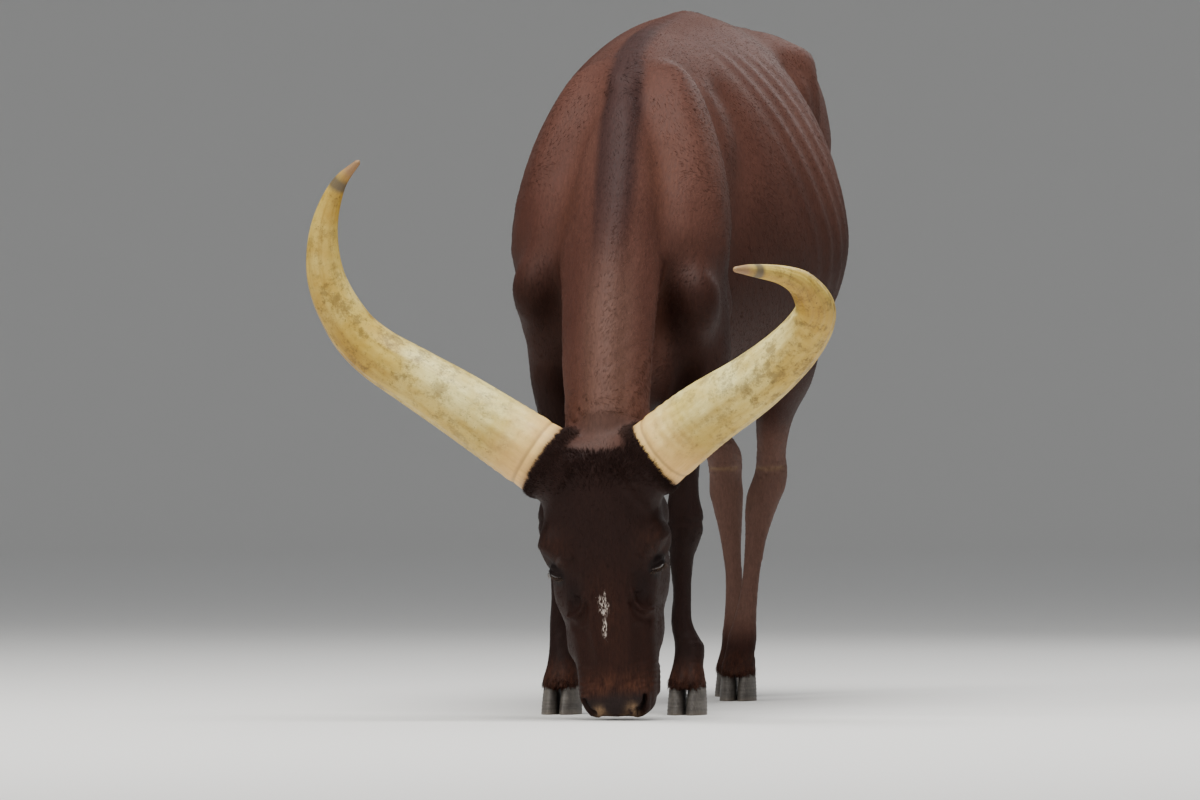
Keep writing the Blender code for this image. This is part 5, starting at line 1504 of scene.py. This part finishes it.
skinMarks = coatMarks(points)
shares = regionShares(points)
shortCoat("Head", coat["head"], 0.62, headDown, headPlace(0, 0.2, -0.09), headFront)
shortCoat("Neck", coat["neck"], 0.95, (0, -0.45, -0.75), (0.03, -0.2, 0.70), (0, 1, 0))
for region in ("Shoulders", "Ribs", "Rump"):
    shortCoat(region, coat["trunk"], 1.0, (0, 1, 0), (0, 0.5, 0.93), hanging)
for region, x, y in (("ForeLeft", 0.13, 0.0), ("ForeRight", -0.10, 0.0), ("HindLeft", 0.075, 1.03),
                     ("HindRight", -0.03, 1.32)):
    shortCoat(region, coat["leg"], 0.72, hanging, (x, y, 0.3), (0, 1, 0))
shortCoat("Tail", coat["tail"], 1.1, hanging, (0.012, 1.49, 0.9), (0, -1, 0))
print("short coat laid")


# Longer hair
longHair = dict(collar=4500, collarLength=0.0095, poll=3600, pollLength=0.011, switch=1500,
                switchLength=0.150, coronet=2400, lash=24, lashSpan=0.0150, lashRise=0.0036)
lashLook = dict(dark=(0.075, 0.042, 0.024), pale=(0.22, 0.140, 0.080), gloss=0.3)


def hornCollar():
    # Hair that leaves the skin just short of each horn and lies out over its base
    roots, normals, flows = [], [], []
    for side in ("left", "right"):
        path = np.array(horns[side]["path"])
        axis = unit(path[1] - path[0])
        d, _ = lineDistance(points, path[:3])
        run = (points - path[0]) @ axis
        share = ((run > 0.030) & (run < 0.060) & (d < 0.076) & (d > 0.064)).astype(float)
        root, normal = scattered(share, longHair["collar"])
        fromBase = root - path[0]
        spoke = unit(fromBase - axis * (fromBase @ axis)[:, None])
        outward = spoke * rng.uniform(-0.05, 0.12, len(root))[:, None]
        flow = unit(axis * 0.9 + outward + rng.normal(0, 0.13, root.shape))
        roots.append(root)
        normals.append(tangent(spoke, flow))
        flows.append(flow)
    root, normal, flow = np.vstack(roots), np.vstack(normals), np.vstack(flows)
    count = len(root)
    length = longHair["collarLength"] * rng.uniform(0.55, 1.1, count)
    made = lockShapes(root, normal, flow, length, rng.uniform(0.0005, 0.0010, count),
                      rng.uniform(0.0, 0.002, count), hairRows)
    coatPiece("hairCollar", root, made, roundMap(root, headLeft, headPlace(0, 0, -0.05), headDown),
              0.0)


def pollHair():
    # A rough tuft between the horns, standing a little off the skin
    side, down, depth = headCoords(points)
    share = (shares["Head"] * smoothStep(0.100, 0.030, down) * smoothStep(0.13, 0.08, np.abs(side))
             * (depth > -0.12) * (skinMarks["warm"] < 0.2))
    root, normal = scattered(share, longHair["poll"])
    count = len(root)
    flow = lieOfCoat(root, normal)
    flow = unit(flow + normal * rng.uniform(0.10, 0.35, count)[:, None] + rng.normal(0, 0.18, root.shape))
    up = unit(np.cross(flow, np.cross(normal, flow)))
    length = longHair["pollLength"] * rng.uniform(0.5, 1.1, count)
    made = lockShapes(root, up, flow, length, rng.uniform(0.0007, 0.0014, count),
                      rng.uniform(-0.001, 0.002, count), pollRows)
    coatPiece("hairPoll", root, made, roundMap(root, headLeft, headPlace(0, 0.02, -0.05), headDown))


def coronetHair():
    # A short fringe hanging over the top of each hoof
    z = points[:, 2]
    share = ((z > 0.046) & (z < 0.066) & (skinNormals[:, 2] < 0.5) & (headMask(points) < 0.5)
             & (points[:, 1] > -0.15))
    root, normal = scattered(share.astype(float), longHair["coronet"])
    count = len(root)
    flow = unit(tangent(hanging + 0 * normal, normal) + rng.normal(0, 0.12, root.shape) + normal * 0.10)
    made = lockShapes(root, normal, flow, rng.uniform(0.006, 0.013, count),
                      rng.uniform(0.0008, 0.0015, count), rng.uniform(0.0, 0.001, count), bladeRows)
    coatPiece("hairCoronet", root, made, roundMap(root, (0, 1, 0), (0, 0.4, 0.1), (1, 0, 0)))


def switchHair():
    # A narrow core with long locks starting all down its length
    line = smoothThrough(np.column_stack([tail["switchPath"], tail["switchRadius"]]), 60)
    core, coreFaces = tubeShape(line[:, :3], line[:, 3], 24)
    count = longHair["switch"]
    row = (rng.random(count) ** 1.3 * 44).astype(int)
    a = rng.uniform(0, 2 * np.pi, count)
    spoke = np.stack([np.cos(a), np.sin(a), np.zeros(count)], 1)
    root = line[row, :3] + spoke * (line[row, 3] * 0.85)[:, None]
    flow = unit(spoke * rng.uniform(0.0, 0.08, count)[:, None] + hanging + rng.normal(0, 0.03, root.shape))
    length = longHair["switchLength"] * rng.uniform(0.5, 1.1, count)
    length = np.minimum(length, root[:, 2] - tail["switchEnd"])
    locks, lockFaces, each, patch = lockShapes(root, tangent(spoke, flow), flow, length,
                                               rng.uniform(0.0014, 0.0030, count),
                                               rng.uniform(-0.006, 0.002, count), switchRows)
    p, faces = joinShapes([(core, coreFaces), (locks, lockFaces)])
    piece = pieceFrom("tailSwitch", p + bodyShift, faces, hideSurface, ("tail_switch",))
    tone = np.repeat(rng.uniform(0, 1, count), each)
    pointMarks(piece.data, dict(hairTone=np.concatenate([np.zeros(len(core)), tone])))
    place = roundMap(np.vstack([core, np.repeat(root, each, 0)]), (0, 0, -1), (0.03, 1.49, 0.5), (0, 1, 0))
    place[len(core):] += np.tile(patch, (count, 1))
    bakeMap(piece.data, place)


def lashFinish():
    f = Finish("paleLash")
    tone = f.noise(400, 2)
    colour = f.mix(f.between(tone, 0.3, 0.7), lashLook["dark"], lashLook["pale"])
    return f.done(colour, f.between(tone, 0.2, 0.8, 0.45, 0.6), Specular_IOR_Level=lashLook["gloss"])


def lashPiece(side, s, surface):
    # Hairs along the edge of the upper lid, fanned a little and pointing down
    out, fore, low = eyeAxes(s)
    count, span = longHair["lash"], longHair["lashSpan"]
    a = np.linspace(-span, span, count) + rng.normal(0, 0.0003, count)
    b = lids["slant"] * a + lids["drop"] - 0.0016 * np.sqrt(np.clip(1 - (a / lids["halfLength"]) ** 2, 0, 1))
    size = eyes["radius"] + longHair["lashRise"]
    way = (fore * a[:, None] + low * b[:, None] + out * np.sqrt(size ** 2 - a ** 2 - b ** 2)[:, None]) / size
    fan = fore * (0.30 + a / span * 0.35)[:, None]
    flow = unit(way * 0.62 + low * 0.70 + fan + rng.normal(0, 0.08, way.shape))
    normal = unit(np.cross(flow, np.cross(out[None] + 0 * flow, flow)))
    made = lockShapes(eyePlace(s) + way * size, normal, flow, rng.uniform(0.007, 0.012, count),
                      np.full(count, 0.0004), np.full(count, -0.003), lashRows)
    pieceFrom("lashes" + side, made[0] + bodyShift, made[1], surface)


hornCollar()
pollHair()
coronetHair()
switchHair()
lashSurface = lashFinish()
lashPiece("Left", 1, lashSurface)
lashPiece("Right", -1, lashSurface)
